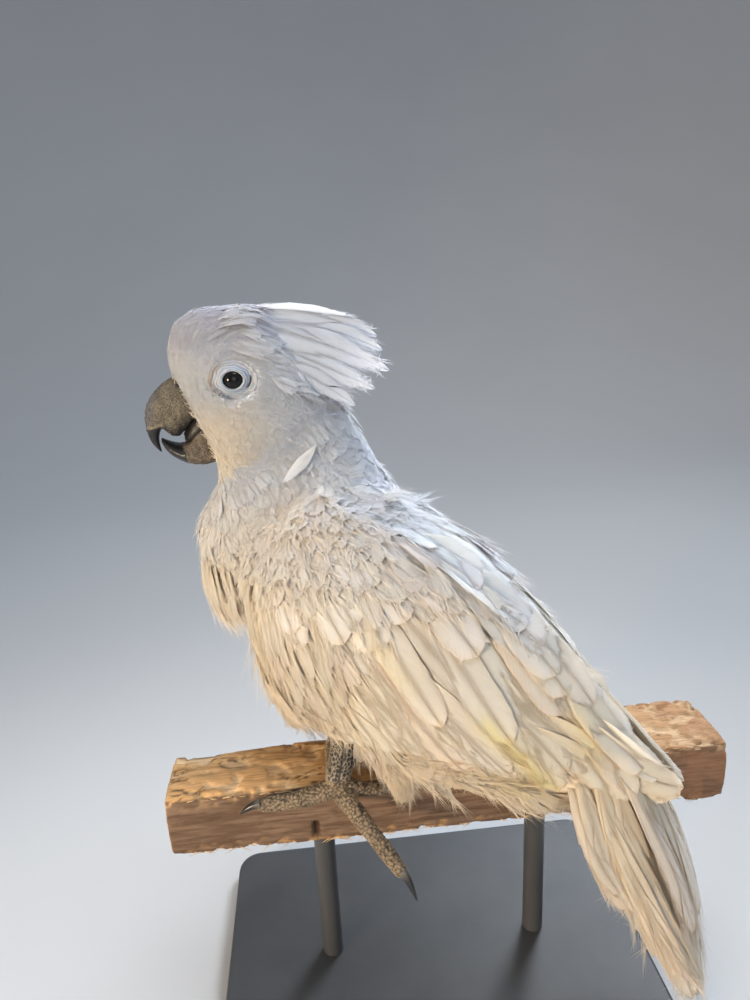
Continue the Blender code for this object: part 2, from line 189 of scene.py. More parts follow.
def neighbours_mean(points, edges, times):
    """Laplacian smoothing of points along edges."""
    degree = np.bincount(edges.ravel(), minlength=len(points)).astype(float)
    for _ in range(times):
        total = np.zeros_like(points)
        np.add.at(total, edges[:, 0], points[edges[:, 1]])
        np.add.at(total, edges[:, 1], points[edges[:, 0]])
        mean = total / np.maximum(degree, 1)[:, None]
        points = points + (mean - points) * 0.5
    return points


def vertex_normals(points, faces):
    """Smooth normals, from the faces round each point."""
    a, b, c = (points[faces[:, k]] for k in range(3))
    face = np.cross(b - a, c - a)
    total = np.zeros_like(points)
    for k in range(3):
        np.add.at(total, faces[:, k], face)
    return unit(total)


def tree_of(points, faces):
    """A search tree over triangles."""
    return BVHTree.FromPolygons([Vector(p) for p in points], faces.tolist())


def edges_of(faces):
    """The edges of triangles, each once."""
    pairs = np.vstack((faces[:, [0, 1]], faces[:, [1, 2]]))
    return np.unique(np.sort(pairs, axis=1), axis=0)


def welded(node):
    """Points and triangles of a CAD node, with its doubled points joined."""
    points, faces = mesh_of(nodes[node])
    keys, index = np.unique(np.round(points, 3), axis=0, return_inverse=True)
    return keys, index.reshape(-1)[faces]


def stacked(shapes):
    """Several (points, faces) as one."""
    base, all_points, all_faces = 0, [], []
    for points, faces in shapes:
        all_points.append(points)
        all_faces.append(faces + base)
        base += len(points)
    return np.vstack(all_points), np.vstack(all_faces)


def remeshed(points, faces, voxel):
    """The outer skin of overlapping closed shapes, in even triangles."""
    rough = make("rough_shape", points, faces, ride=False)
    remesh = rough.modifiers.new("Remesh", "REMESH")
    remesh.mode = "VOXEL"
    remesh.voxel_size = voxel * MM
    settle(rough)
    points, faces = mesh_of(rough)
    bpy.data.objects.remove(rough)
    return points, faces


# ---------------------------------------------------------------- skin

FLESH = ("head", "neck", "trunk", "thigh_left", "thigh_right", "wing_left", "wing_right")
SKIN_VOXEL = 2.2
SWELL = 0.5
WINGS = [FLESH.index(name) for name in ("wing_left", "wing_right")]
THIGHS = [FLESH.index(name) for name in ("thigh_left", "thigh_right")]


def joined_flesh():
    """The flesh nodes, each a little swollen, so that they overlap."""
    shapes = []
    for name in FLESH:
        keys, f = welded(name)
        f = f[(f[:, 0] != f[:, 1]) & (f[:, 1] != f[:, 2]) & (f[:, 0] != f[:, 2])]
        shapes.append((keys + vertex_normals(keys, f) * SWELL, f))
    return stacked(shapes)


def fill_socket(points, faces):
    """Adds the eyeballs to the flesh, so that the skin has no hole where the solids have sockets."""
    for side in (1, -1):
        centre = HEAD.at((0, side * 12.2, 0))
        ball = bmesh.new()
        bmesh.ops.create_icosphere(ball, subdivisions=3, radius=6.6)
        p = np.array([v.co for v in ball.verts]) + centre
        f = np.array([[v.index for v in face.verts] for face in ball.faces])
        ball.free()
        faces = np.vstack((faces, f + len(points)))
        points = np.vstack((points, p))
    return points, faces


def largest_shell(points, faces):
    """The faces joined to the highest point: voxel remeshing can leave small shells inside."""
    label = np.arange(len(points))
    edges = np.vstack((faces[:, [0, 1]], faces[:, [1, 2]], faces[:, [2, 0]]))
    while True:
        low = np.minimum(label[edges[:, 0]], label[edges[:, 1]])
        new = label.copy()
        np.minimum.at(new, edges[:, 0], low)
        np.minimum.at(new, edges[:, 1], low)
        new = new[new]
        if (new == label).all():
            break
        label = new
    kept = label == label[points[:, 2].argmax()]
    number = np.cumsum(kept) - 1
    faces = faces[kept[faces[:, 0]]]
    return points[kept], number[faces]


BODY_DEPTH, NECK_DEPTH, WING_DEPTH, HEAD_DEPTH = 4.5, 3.0, 3.0, 2.2
# The skin sinks no deeper than this share of the flesh's own thickness.
THIN_SHARE = 0.36


def coat_depth(points, name_of):
    """How far the skin lies inside the solids, by place."""
    one, two = head_planes(points)
    h = HEAD.read(points)
    depth = np.where(two > 0, NECK_DEPTH, BODY_DEPTH)
    face = np.clip(one / 40.0, 0, 1)
    depth = np.where(one > 0, HEAD_DEPTH - face, depth)
    depth = np.where(np.isin(name_of, WINGS), WING_DEPTH, depth)
    near_eye = np.exp(-((h[:, 0] ** 2 + h[:, 2] ** 2) / 13.0 ** 2))
    return depth * (1 - 0.6 * near_eye * (one > 0))


def build_skin():
    """The skin under the coat: the flesh joined, smoothed and sunk by the depth of the coat."""
    points, faces = fill_socket(*joined_flesh())
    points, faces = largest_shell(*remeshed(points, faces, SKIN_VOXEL))
    edges = edges_of(faces)
    points = neighbours_mean(points, edges, 6)
    trees = [tree_of(*mesh_of(nodes[name])) for name in FLESH]
    owner = np.zeros(len(points), int)
    for i, p in enumerate(points):
        owner[i] = int(np.argmin([tree.find_nearest(Vector(p))[3] for tree in trees]))
    normals = vertex_normals(points, faces)
    tree = tree_of(points, faces)
    depth = coat_depth(points, owner)
    for i, (p, n) in enumerate(zip(points, normals)):
        hit = tree.ray_cast(Vector(p - n * 0.3), Vector(-n), 60.0)
        if hit[3] is not None:
            depth[i] = min(depth[i], THIN_SHARE * (hit[3] + 0.3))
    depth = neighbours_mean(depth[:, None], edges, 6)[:, 0]
    points = neighbours_mean(points - normals * depth[:, None], edges, 4)
    # Round each eye the skin sinks behind the eyeball and the lids.
    h = HEAD.read(points)
    away = np.hypot(h[:, 0] / 1.1, h[:, 2])
    level = 14.6 + 0.55 * np.clip(away - 4.8, 0, 9)
    sink = (np.abs(h[:, 1]) > level) & (away < 9.5)
    h[:, 1] = np.where(sink, np.sign(h[:, 1]) * level, h[:, 1])
    return HEAD.at(h), faces, owner, edges


skin_points, skin_faces, skin_owner, skin_edges = build_skin()
said(f"skin of {len(skin_faces)} triangles")

skin_normals = vertex_normals(skin_points, skin_faces)
skin_tree = tree_of(skin_points, skin_faces)
skin_body = BODY.read(skin_points)
skin_head = HEAD.read(skin_points)
skin_one, skin_two = head_planes(skin_points)


# ---------------------------------------------------------------- lie of the coat

# Each line: place (forward, left, up) and the way the coat lies there, in the head's axes.
HEAD_LIE = [
    ((32, 0, 4), (-0.35, 0, 0.94)),
    ((31, 0, 18), (-0.55, 0, 0.83)),
    ((24, 0, 31), (-0.87, 0, 0.5)),
    ((4, 0, 36), (-1, 0, 0.02)),
    ((-14, 0, 31), (-0.95, 0, -0.3)),
    ((-32, 0, 18), (-0.8, 0, -0.6)),
    ((-45, 0, 2), (-0.6, 0, -0.8)),
    ((-56, 0, -16), (-0.5, 0, -0.86)),
    ((-70, 0, -50), (-0.4, 0, -0.92)),
    ((-80, 0, -72), (-0.6, 0, -0.8)),
    ((24, 12, 8), (-0.75, 0, 0.66)),
    ((18, 15, 20), (-0.93, 0, 0.37)),
    ((0, 17, 22), (-1, 0, 0)),
    ((24, 12, -6), (-0.95, 0, 0.2)),
    ((12, 16, 2), (-0.98, 0, 0.1)),
    ((14, 16, -12), (-0.85, 0, -0.5)),
    ((0, 18, -16), (-0.7, 0, -0.7)),
    ((-14, 19, 8), (-0.98, 0, -0.2)),
    ((-16, 22, -8), (-0.8, 0, -0.6)),
    ((-30, 22, 6), (-0.85, 0, -0.5)),
    ((-40, 22, -16), (-0.6, 0, -0.8)),
    ((8, 15, -34), (-0.4, 0, -0.9)),
    ((-8, 20, -40), (-0.4, 0, -0.9)),
    ((-28, 26, -38), (-0.5, 0, -0.86)),
    ((14, 6, -50), (-0.15, 0, -1)),
    ((18, 0, -64), (-0.05, 0, -1)),
    ((0, 26, -62), (-0.2, 0, -1)),
    ((-30, 30, -62), (-0.35, 0, -0.93)),
    ((-52, 26, -50), (-0.4, 0, -0.9)),
    ((28, 0, -90), (0.2, 0, -0.98)),
]
# The same for the body, in the body's axes.
BODY_LIE = [
    ((14, 0, 318), (-0.93, 0, -0.37)),
    ((-18, 0, 305), (-0.92, 0, -0.38)),
    ((-45, 0, 292), (-0.88, 0, -0.47)),
    ((-83, 0, 270), (-0.82, 0, -0.57)),
    ((-104, 0, 253), (-0.76, 0, -0.65)),
    ((-125, 0, 232), (-0.6, 0, -0.8)),
    ((-150, 0, 200), (-0.5, 0, -0.87)),
    ((-130, 22, 225), (-0.66, 0, -0.75)),
    ((-30, 24, 296), (-0.87, 0, -0.5)),
    ((-70, 24, 276), (-0.8, 0, -0.6)),
    ((0, 34, 285), (-0.7, 0.1, -0.7)),
    ((24, 36, 285), (-0.35, 0.1, -0.93)),
    ((50, 26, 285), (0.1, 0.1, -0.98)),
    ((78, 10, 262), (-0.1, 0.1, -0.98)),
    ((70, 0, 240), (-0.35, 0, -0.93)),
    ((54, 24, 235), (-0.3, 0, -0.95)),
    ((45, 20, 200), (-0.25, 0, -0.97)),
    ((38, 0, 170), (-0.35, 0, -0.93)),
    ((30, 30, 250), (-0.35, 0, -0.93)),
    ((22, 42, 235), (-0.4, 0, -0.9)),
    ((5, 48, 220), (-0.45, 0, -0.88)),
    ((-15, 46, 262), (-0.5, 0, -0.86)),
    ((-38, 50, 235), (-0.5, 0, -0.86)),
    ((-30, 48, 200), (-0.6, 0, -0.8)),
    ((-60, 46, 248), (-0.62, 0, -0.78)),
    ((-66, 46, 200), (-0.68, 0, -0.73)),
    ((-95, 36, 238), (-0.64, 0, -0.77)),
    ((-100, 38, 195), (-0.7, 0, -0.7)),
    ((-128, 28, 215), (-0.64, 0, -0.77)),
    ((-140, 28, 180), (-0.72, 0, -0.7)),
    ((-172, 10, 170), (-0.7, 0, -0.7)),
    ((20, 0, 154), (-0.6, 0, -0.8)),
    ((0, 20, 160), (-0.7, 0, -0.72)),
    ((-30, 0, 166), (-0.93, 0, -0.37)),
    ((-50, 34, 185), (-0.6, 0, -0.8)),
    ((-56, 36, 160), (-0.45, 0, -0.9)),
    ((-70, 0, 148), (-0.95, 0, -0.3)),
    ((-80, 26, 160), (-0.75, 0, -0.66)),
    ((-110, 0, 132), (-0.85, 0, -0.5)),
    ((-112, 18, 145), (-0.8, 0, -0.6)),
    ((-136, 0, 142), (-0.6, 0, -0.8)),
]


def lie_points():
    """Places and ways of both tables, on both sides."""
    places, ways = [], []
    for axes, table in ((HEAD, HEAD_LIE), (BODY, BODY_LIE)):
        for (f, l, u), way in table:
            for side in (1, -1) if l else (1,):
                places.append(axes.at((f, side * l, u)))
                ways.append(axes.way((way[0], side * way[1], way[2])))
    return np.array(places), unit(np.array(ways))


def lie_of(points, normals):
    """The way the coat lies at each point, along the surface."""
    places, ways = lie_points()
    total = np.zeros_like(points)
    for start in range(0, len(points), 4000):
        part = points[start : start + 4000]
        d2 = ((part[:, None] - places[None]) ** 2).sum(2) + 16.0
        weight = d2**-2.2
        total[start : start + 4000] = weight @ ways / weight.sum(1)[:, None]
    return unit(total - normals * (total * normals).sum(1)[:, None])


skin_lie = lie_of(skin_points, skin_normals)
skin_lie = unit(neighbours_mean(skin_lie, skin_edges, 8))
said("lie of the coat")


# ---------------------------------------------------------------- unwrap of the skin


def unwrap_skin():
    """Texture places of the skin's own shape, read at any point on it by nearest face."""
    rough = make("skin_unwrap", skin_points, skin_faces, ride=False)
    thin = rough.modifiers.new("Thin", "DECIMATE")
    thin.ratio = 0.12
    settle(rough)
    bpy.context.view_layer.objects.active = rough
    for other in bpy.context.selected_objects:
        other.select_set(False)
    rough.select_set(True)
    bpy.ops.object.mode_set(mode="EDIT")
    bpy.ops.mesh.select_all(action="SELECT")
    bpy.ops.uv.smart_project(angle_limit=1.15, island_margin=0.004)
    bpy.ops.object.mode_set(mode="OBJECT")
    points, _ = mesh_of(rough)
    data = rough.data
    layer = data.uv_layers.active.data
    uv = np.empty(len(layer) * 2)
    layer.foreach_get("uv", uv)
    uv = uv.reshape(-1, 2)
    corners = np.array([list(t.loops) for t in data.loop_triangles])
    faces = np.array([list(t.vertices) for t in data.loop_triangles])
    tree = tree_of(points, faces)
    bpy.data.objects.remove(rough)
    return points, faces, uv[corners], tree


wrap_points, wrap_faces, wrap_uv, wrap_tree = unwrap_skin()


def wrap_at(points):
    """Texture places of points on the skin."""
    out = np.empty((len(points), 2))
    for i, p in enumerate(points):
        at, _, face, _ = wrap_tree.find_nearest(Vector(p))
        a, b, c = wrap_points[wrap_faces[face]]
        n = np.cross(b - a, c - a)
        area = max(float(n @ n), 1e-9)
        at = np.array(at)
        wa = float(np.cross(b - at, c - at) @ n) / area
        wb = float(np.cross(c - at, a - at) @ n) / area
        out[i] = wa * wrap_uv[face, 0] + wb * wrap_uv[face, 1] + (1 - wa - wb) * wrap_uv[face, 2]
    return out


said("unwrap")


# ---------------------------------------------------------------- feathers


def on_skin(points):
    """Nearest places on the skin, with smooth normals and lie."""
    at = np.empty_like(points)
    index = np.empty(len(points), int)
    for i, p in enumerate(points):
        near = skin_tree.find_nearest(Vector(p))
        at[i] = near[0]
        index[i] = near[2]
    corners = skin_faces[index]
    return at, unit(skin_normals[corners].mean(1)), unit(skin_lie[corners].mean(1))


TRIES = 9  # for each root, when roots are scattered
CELLS = [(x, y, z) for x in (-1, 0, 1) for y in (-1, 0, 1) for z in (-1, 0, 1)]


def scatter(keep, spacing, seed):
    """Root places on the kept part of the skin. spacing is one number, or one for each point of the skin."""
    own = np.random.default_rng(seed)
    faces = skin_faces[keep[skin_faces].all(1)]
    a, b, c = (skin_points[faces[:, k]] for k in range(3))
    area = np.linalg.norm(np.cross(b - a, c - a), axis=1) / 2
    gap = np.broadcast_to(spacing, (len(skin_points),))[faces].mean(1)
    share = area / gap**2
    count = int(share.sum() * TRIES)
    pick = own.choice(len(faces), size=count, p=share / share.sum())
    r1, r2 = own.random((2, count, 1))
    flip = (r1 + r2 > 1)[:, 0]
    r1[flip], r2[flip] = 1 - r1[flip], 1 - r2[flip]
    points = a[pick] + r1 * (b[pick] - a[pick]) + r2 * (c[pick] - a[pick])
    gaps = gap[pick]
    grid, chosen = {}, []
    cells = np.floor(points / float(gaps.max())).astype(int).tolist()
    rows = points.tolist()
    for i, (x, y, z) in enumerate(cells):
        px, py, pz = rows[i]
        limit = (gaps[i] * 0.86) ** 2
        near = (q for dx, dy, dz in CELLS for q in grid.get((x + dx, y + dy, z + dz), ()))
        if not any((q[0] - px) ** 2 + (q[1] - py) ** 2 + (q[2] - pz) ** 2 < limit for q in near):
            grid.setdefault((x, y, z), []).append(rows[i])
            chosen.append(i)
    return points[chosen]


class Template:
    """A feather in its own space: u along it, v across it (half its width is 1), w up from it."""

    def __init__(self, camber=0.0):
        self.camber = camber
        self.points, self.faces, self.along = [], [], []

    def add(self, u, v, w, along=None):
        self.points.append((u, v, w))
        self.along.append(u if along is None else along)
        return len(self.points) - 1

    def bent(self, place, w):
        """A point on the vane's curve across."""
        return self.add(place[0], place[1], w - self.camber * place[1] ** 2)

    def blade(self, base, stations):
        """Triangles of a closed blade: three points at every station but the last, which is its tip."""
        tip = base + 3 * (stations - 1)
        for p in range(base, tip - 3, 3):
            for i, m in ((0, 2), (2, 1), (1, 0)):
                self.faces += [(p + i, p + 3 + m, p + m), (p + i, p + 3 + i, p + 3 + m)]
        self.faces += [(tip - 3 + m, tip - 3 + i, tip) for i, m in ((0, 2), (2, 1), (1, 0))]
        self.faces.append((base, base + 2, base + 1))

    def spike(self, start, way, height, half, rise, aspect):
        """A fine barb of the fringe."""
        steep = way * np.array([aspect, 1.0])
        steep = steep / max(np.linalg.norm(steep), 1e-6)
        across = np.array([-steep[1] / aspect, steep[0]])
        a = self.bent(start - across * half, height)
        b = self.bent(start + across * half, height)
        top = self.add(start[0], start[1], height - self.camber * start[1] ** 2 + half * 0.8)
        tip = self.bent(start + way, height + rise)
        self.faces += [(a, tip, top), (top, tip, b), (b, tip, a), (a, top, b)]

    def done(self):
        return np.array(self.points, float), np.array(self.faces, int), np.array(self.along, float)


def curved(start, middle, end, t):
    """A smooth line from start to end that leans towards the middle."""
    return (1 - t) ** 2 * start + 2 * t * (1 - t) * middle + t**2 * end


VANE_SHAPE = ((0.0, 0.25), (0.25, 0.85), (0.5, 1.0), (0.8, 0.93), (0.93, 0.68), (1.0, 0.2))
PLATE = 0.03


def vane(
    rows, columns, reach, camber, fringe, aspect, lobes=1, shape=VANE_SHAPE, groove=0.02, gap=0.02,
    serrate=0.03, ragged=0.0, shaft=0.05, curl=0.0, seed=0,
):
    """One feather with a whole smooth vane: (points, faces, share of the way along of each point).

    Each side is a few lobes, closed thin plates of barb rows that sweep from the shaft to the edge, with
    slits between lobes, and a fringe of fine barbs beyond the edge. aspect is length over half width.
    fringe: how many barbs on a side, where they begin, their length and their width.
    """
    own = np.random.default_rng(seed)
    us, ws = np.array(shape).T
    made = Template(camber)
    edges = []
    for side in (1, -1):
        cuts = np.array([], int)
        if lobes > 1:
            cuts = np.sort(own.choice(np.arange(2, rows - 1), size=min(lobes - 1, rows - 3), replace=False))
        for lobe, (i0, i1) in enumerate(zip([0, *cuts], [*cuts, rows])):
            lift = own.normal(0, 0.03) * (lobe > 0) + 0.004 * lobe
            short = 1 - ragged * own.random() ** 1.5
            grid = []
            for i in range(i0, i1 + 1):
                u0 = 0.02 + i / rows
                u1 = u0 + reach * (1 - 0.72 * u0)
                if u1 > 0.86:
                    # The edge rounds in to the tip of the shaft.
                    u1 = 0.86 + 0.12 * math.tanh((u1 - 0.86) / 0.16)
                if i == i1 and i1 != rows:
                    u1 -= gap * (0.5 + own.random())
                if i == i0 and i0 != 0:
                    u1 += gap * (0.5 + own.random())
                v1 = float(np.interp(min(u1, 1.0), us, ws)) * side
                cut = short * (1 + serrate * own.normal(0, 1))
                if ragged and i not in (i0, i1):
                    cut *= 1 - 0.3 * ragged * own.random()
                start = np.array([u0, 0.012 * side])
                end = np.array([u0 + (u1 - u0) * cut, v1 * cut])
                bend = np.array([u0 + (end[0] - u0) * 0.35, end[1] * 0.62])
                t = np.linspace(0, 1, columns + 1)[:, None]
                line = curved(start, bend, end, t)
                bump = groove * own.normal(0, 1) * (t[:, 0] > 0) * (0.4 + 0.6 * t[:, 0])
                height = bump + lift * t[:, 0] - camber * line[:, 1] ** 2 + curl * (line[:, 0] ** 2) * 0.5
                grid.append(np.column_stack((line, height)))
                if u0 + 0.1 > fringe[1]:
                    edges.append((line[-1], line[-1] - line[-2], height[-1], side))
            add_plate(made, np.array(grid), side)
    made.faces = [f for f in made.faces if len(set(f)) == 3]
    add_fringe(made, edges, fringe, aspect, own)
    if shaft:
        add_shaft(made, shaft, curl, 6 if rows > 5 else 3)
    return made.done()


def add_plate(made, grid, side):
    """A closed thin plate: the grid on top, and its inner points again lower down."""
    r, c = grid.shape[:2]
    base = len(made.points)
    for row_ in grid:
        for point in row_:
            made.add(*point)
    inner = {}
    for a in range(1, r - 1):
        for b in range(1, c - 1):
            inner[a, b] = made.add(*(grid[a, b] - (0, 0, PLATE)))

    def below(a, b):
        return inner.get((a, b), base + a * c + b)

    for a in range(r - 1):
        for b in range(c - 1):
            p, q = base + a * c + b, base + (a + 1) * c + b
            top = (p, p + 1, q + 1, q) if side > 0 else (p, q, q + 1, p + 1)
            low = (below(a, b), below(a, b + 1), below(a + 1, b + 1), below(a + 1, b))
            if side < 0:
                low = (low[0], low[3], low[2], low[1])
            made.faces += [(top[0], top[2], top[1]), (top[0], top[3], top[2])]
            made.faces += [(low[0], low[1], low[2]), (low[0], low[2], low[3])]


def add_fringe(made, edges, fringe, aspect, own):
    """Fine barbs out of the edge: edges are (place, way, height, side) in order."""
    count, _, length, width = fringe
    for _ in range(count * 2 if edges else 0):
        k = own.integers(0, len(edges))
        place, way, height, side = edges[k]
        other = edges[min(k + 1, len(edges) - 1)]
        if other[3] == side:
            part = own.random()
            place = place * (1 - part) + other[0] * part
        way = way / max(np.linalg.norm(way * np.array([aspect, 1.0])), 1e-6)
        reach = length * aspect * own.uniform(0.5, 1.3)
        out = way * reach * 0.9 + np.array([reach / aspect * 0.5, own.normal(0, 0.08)])
        height = height + made.camber * place[1] ** 2 + own.normal(0, 0.01)
        half = width * own.uniform(0.6, 1.2)
        made.spike(place - out * 0.35, out * 1.35, height, half, own.normal(0, 0.05), aspect)


def add_shaft(made, shaft, curl, stations):
    """A closed ridge down the middle, thinner towards the tip."""
    base = len(made.points)
    for t in np.linspace(0, 1, stations)[:-1]:
        h = shaft * (1 - 0.8 * t)
        w = curl * t**2 * 0.5
        for v, high in ((-h, w), (h, w), (0, w + h * 0.9)):
            made.add(t * 0.97, v, high, t)
    made.add(0.97, 0.0, curl * 0.5, 1.0)
    made.blade(base, stations)


def plume(blades, spread, width, curl, lift, locks, stations=3, seed=0):
    """A soft loose feather: fine blades in a few locks, spreading from the lower shaft."""
    own = np.random.default_rng(seed)
    made = Template()
    lock_v = np.linspace(-1, 1, locks) * spread * own.uniform(0.8, 1.1, locks)
    lock_u = 1 - 0.3 * np.abs(lock_v) ** 1.5 * own.uniform(0.6, 1.2, locks)
    lock_w = own.uniform(-0.1, 1.0, locks) * lift * 0.6
    for b in range(blades):
        k = b % locks
        u0 = own.uniform(0.0, 0.42)
        v0 = own.normal(0, 0.16)
        end_u = lock_u[k] * own.uniform(0.8, 1.06)
        end_v = lock_v[k] + own.normal(0, 0.2)
        end = np.array([end_u, end_v, lock_w[k] + own.uniform(-0.3, 0.7) * lift * 0.5])
        start = np.array([u0, v0, own.uniform(0, 0.06)])
        middle = start * 0.5 + end * 0.5
        middle[1] = v0 + (end[1] - v0) * own.uniform(0.55, 0.95)
        middle[2] += own.uniform(0.05, 0.25) * lift
        t = np.linspace(0, 1, stations + 1)
        line = curved(start, middle, end, t[:, None])
        line[:, 1] += curl * own.normal(0, 0.3) * t**2
        base = len(made.points)
        shrink = 1 - (t * 0.92) ** 1.6
        for j in range(stations):
            swell = 0.55 + 0.45 * math.sin(math.pi * min(t[j] + 0.25, 1))
            h = width * own.uniform(0.8, 1.2) * swell * shrink[j]
            u, v, w = line[j]
            for across, high in ((v - h, w - h * 0.25), (v + h, w - h * 0.25), (v, w + h * 0.45)):
                made.add(u, across, high)
        made.add(*line[-1])
        made.blade(base, stations + 1)
    return made.done()


def both(a, b):
    """Two templates as one."""
    return tuple(np.concatenate(pair) for pair in ((a[0], b[0]), (a[1], b[1] + len(a[0])), (a[2], b[2])))


def turned(vectors, axes, angles):
    """Vectors turned about unit axes by angles."""
    c, s = np.cos(angles)[:, None], np.sin(angles)[:, None]
    dot = (vectors * axes).sum(1)[:, None]
    return vectors * c + np.cross(axes, vectors) * s + axes * dot * (1 - c)


def spines(roots, lengths, yaw, bend, cling, rise, steps, droop, ways):
    """Lines along which feathers lie: marched over the skin from the roots, then lifted.

    cling: how closely a line follows the skin, from 0 to 1. rise: its height over the skin at the root and at
    the tip, and the power by which it grows on the way.
    droop: how far the line turns down on its way.
    """
    at, normal, lie = on_skin(roots)
    way = lie if ways is None else unit(ways - normal * (ways * normal).sum(1)[:, None])
    way = turned(way, normal, yaw)
    places, normals = [at], [normal]
    first = normal
    for _ in range(steps):
        way = turned(way, normal, bend / steps)
        way = unit(way + np.array([0, 0, -1.0]) * (droop / steps)[:, None])
        free = places[-1] + way * (lengths / steps)[:, None]
        near, normal_new, _ = on_skin(free)
        out = ((free - near) * normal_new).sum(1)
        # Where the surface turns away, past an edge, the feather goes straight on.
        hold = risen((normal_new * first).sum(1) - 0.25, 0.4)
        pull = np.where(out < 0, 1.0, np.minimum(cling, hold))[:, None]
        places.append(free + (near - free) * pull)
        share = (0.7 * hold)[:, None]
        normal = unit(normal_new * share + normals[-1] * (1 - share))
        normals.append(normal)
        way = unit(places[-1] - places[-2])
    places, normals = np.stack(places, 1), np.stack(normals, 1)
    t = np.linspace(0, 1, steps + 1)[None, :, None]
    low, high, power = rise
    low = np.broadcast_to(low, (len(at),))[:, None, None]
    high = np.broadcast_to(high, (len(at),))[:, None, None]
    return places + normals * (low + (high - low) * t**power), normals


# Stains of the plumage on each side: from (forward, up), to (forward, up), reach, share, colour.
WASHES = [
    ((-103, 203), (-131, 168), 5.0, 0.8, (0.88, 0.72, 0.30)),
    ((-139, 203), (-149, 184), 3.4, 0.6, (0.88, 0.72, 0.34)),
    ((-52, 240), (-69, 219), 3.6, 0.5, (0.90, 0.76, 0.42)),
    ((-108, 172), (-128, 158), 5.0, 0.35, (0.88, 0.74, 0.38)),
    ((8, 286), (-24, 283), 12.0, 0.42, (0.84, 0.66, 0.44)),
    ((26, 246), (10, 200), 7.0, 0.3, (0.88, 0.74, 0.42)),
]


def wash(points, colour):
    """The stains, over the colours of points."""
    q = BODY.read(points)
    place = q[:, (0, 2)]
    for start, end, reach, most, stain in WASHES:
        start, way = np.array(start, float), np.subtract(end, start)
        t = np.clip((place - start) @ way / (way @ way), 0, 1)
        away = np.linalg.norm(place - start - t[:, None] * way, axis=1)
        share = most * np.exp(-((away / reach) ** 2)) * risen(np.abs(q[:, 1]) - 8, 6)
        if reach > 10:
            patch = np.sin(q[:, 0] * 0.9 + 2 * np.sin(q[:, 2] * 0.5)) * np.sin(q[:, 2] * 0.8 + q[:, 0] * 0.3)
            share = share * np.clip(0.5 + patch, 0, 1)
        colour = colour * (1 - share[:, None]) + np.array(stain) * share[:, None]
    return colour


def lay(template, line, normals, widths, rolls, tints, tips, root_uv, own):
    """Arrays of one template laid along each line."""
    uvw, faces, share = template
    count, stations = line.shape[:2]
    tangent = unit(np.gradient(line, axis=1))
    side = unit(np.cross(normals, tangent))
    up = unit(np.cross(tangent, side))
    place = uvw[:, 0] * (stations - 1)
    low = np.clip(place.astype(int), 0, stations - 2)
    part = (place - low)[None, :, None]

    def between(values):
        return values[:, low] * (1 - part) + values[:, low + 1] * part

    centre, across, above, soft = between(line), between(side), between(up), between(normals)
    c = np.cos(rolls)[:, None, None]
    s = np.sin(rolls)[:, None, None]
    across, above = across * c + above * s, above * c - across * s
    w = widths[:, None, None]
    points = centre + across * uvw[None, :, 1, None] * w + above * uvw[None, :, 2, None] * w
    n = len(uvw)
    all_faces = (faces[None] + (np.arange(count) * n)[:, None, None]).reshape(-1, 3)
    along = np.clip(share, 0, 1)[None, :, None]
    # Painted shade: each feather darkens from its tip towards its root, where it lies deep.
    colour = tints[:, None, :] * (1 - along**1.5) + tips[:, None, :] * along**1.5
    uv = root_uv[:, None, :] + 0.003 * np.stack((uvw[:, 1] * 0.4, uvw[:, 0] - 0.5), 1)[None].clip(-0.5, 0.5)
    fibre = np.empty((count, n, 4))
    fibre[..., 0] = uvw[:, 0]
    fibre[..., 1] = uvw[:, 1] * 0.5 + 0.5
    fibre[..., 2] = own.random(count)[:, None]
    fibre[..., 3] = 1
    points = points.reshape(-1, 3)
    colour = wash(points, colour.reshape(-1, 3))
    return points, all_faces, colour, uv.reshape(-1, 2), fibre.reshape(-1, 4), soft.reshape(-1, 3)


# Most triangles of one coat piece.
MOST = 195000


def soften(obj, points, faces, soft, share):
    """Shades thin plates smoothly on each side, turned part of the way to the smooth skin under them."""
    a, b, c = (points[faces[:, k]] for k in range(3))
    flat = np.cross(b - a, c - a)
    upper = (flat * soft[faces].sum(1)).sum(1) > 0
    tops, lows = np.zeros_like(points), np.zeros_like(points)
    for k in range(3):
        np.add.at(tops, faces[upper, k], flat[upper])
        np.add.at(lows, faces[~upper, k], flat[~upper])
    tops = unit(unit(tops) * (1 - share) + soft * share)
    lows = unit(unit(lows) * (1 - share) - soft * share)
    corners = np.where(upper[:, None, None], tops[faces], lows[faces])
    own = unit(flat)[:, None, :]
    off = (corners * own).sum(2, keepdims=True) < 0.35
    corners = np.where(off, unit(corners + own * 0.9), corners)
    obj.data.normals_split_custom_set(corners.reshape(-1, 3).astype(np.float32))


def piece(name, parts, soft):
    """Coat pieces from laid parts, split so that each stays under MOST triangles. Returns the first."""
    batches, total = [[]], 0
    for part in parts:
        if total + len(part[1]) > MOST:
            batches.append([])
            total = 0
        batches[-1].append(part)
        total += len(part[1])
    made = []
    for k, batch in enumerate(batches):
        points, faces = stacked([part[:2] for part in batch])
        colour, uv, fibre, below = (np.vstack(column) for column in list(zip(*batch))[2:])
        label = name if len(batches) == 1 else f"{name}_{k + 1}"
        obj = make(label, points, faces, colours=colour, uv=uv, material=COAT)
        paint(obj, "Fibre", fibre)
        obj.data.color_attributes.active_color_index = 0
        soften(obj, points, faces, below, soft)
        made.append(obj)
        said(f"{obj.name}: {len(faces)} triangles")
    return made[0]


# ---------------------------------------------------------------- materials

# Whites of the plumage: the warm one is partly its own cream and partly painted warm light; the cool one is
# painted cool shade.
WARM_LIGHT_AND_CREAM = np.array([0.91, 0.835, 0.725])
WHITE = np.array([0.91, 0.87, 0.82])
COOL_SHADE = np.array([0.81, 0.845, 0.92])
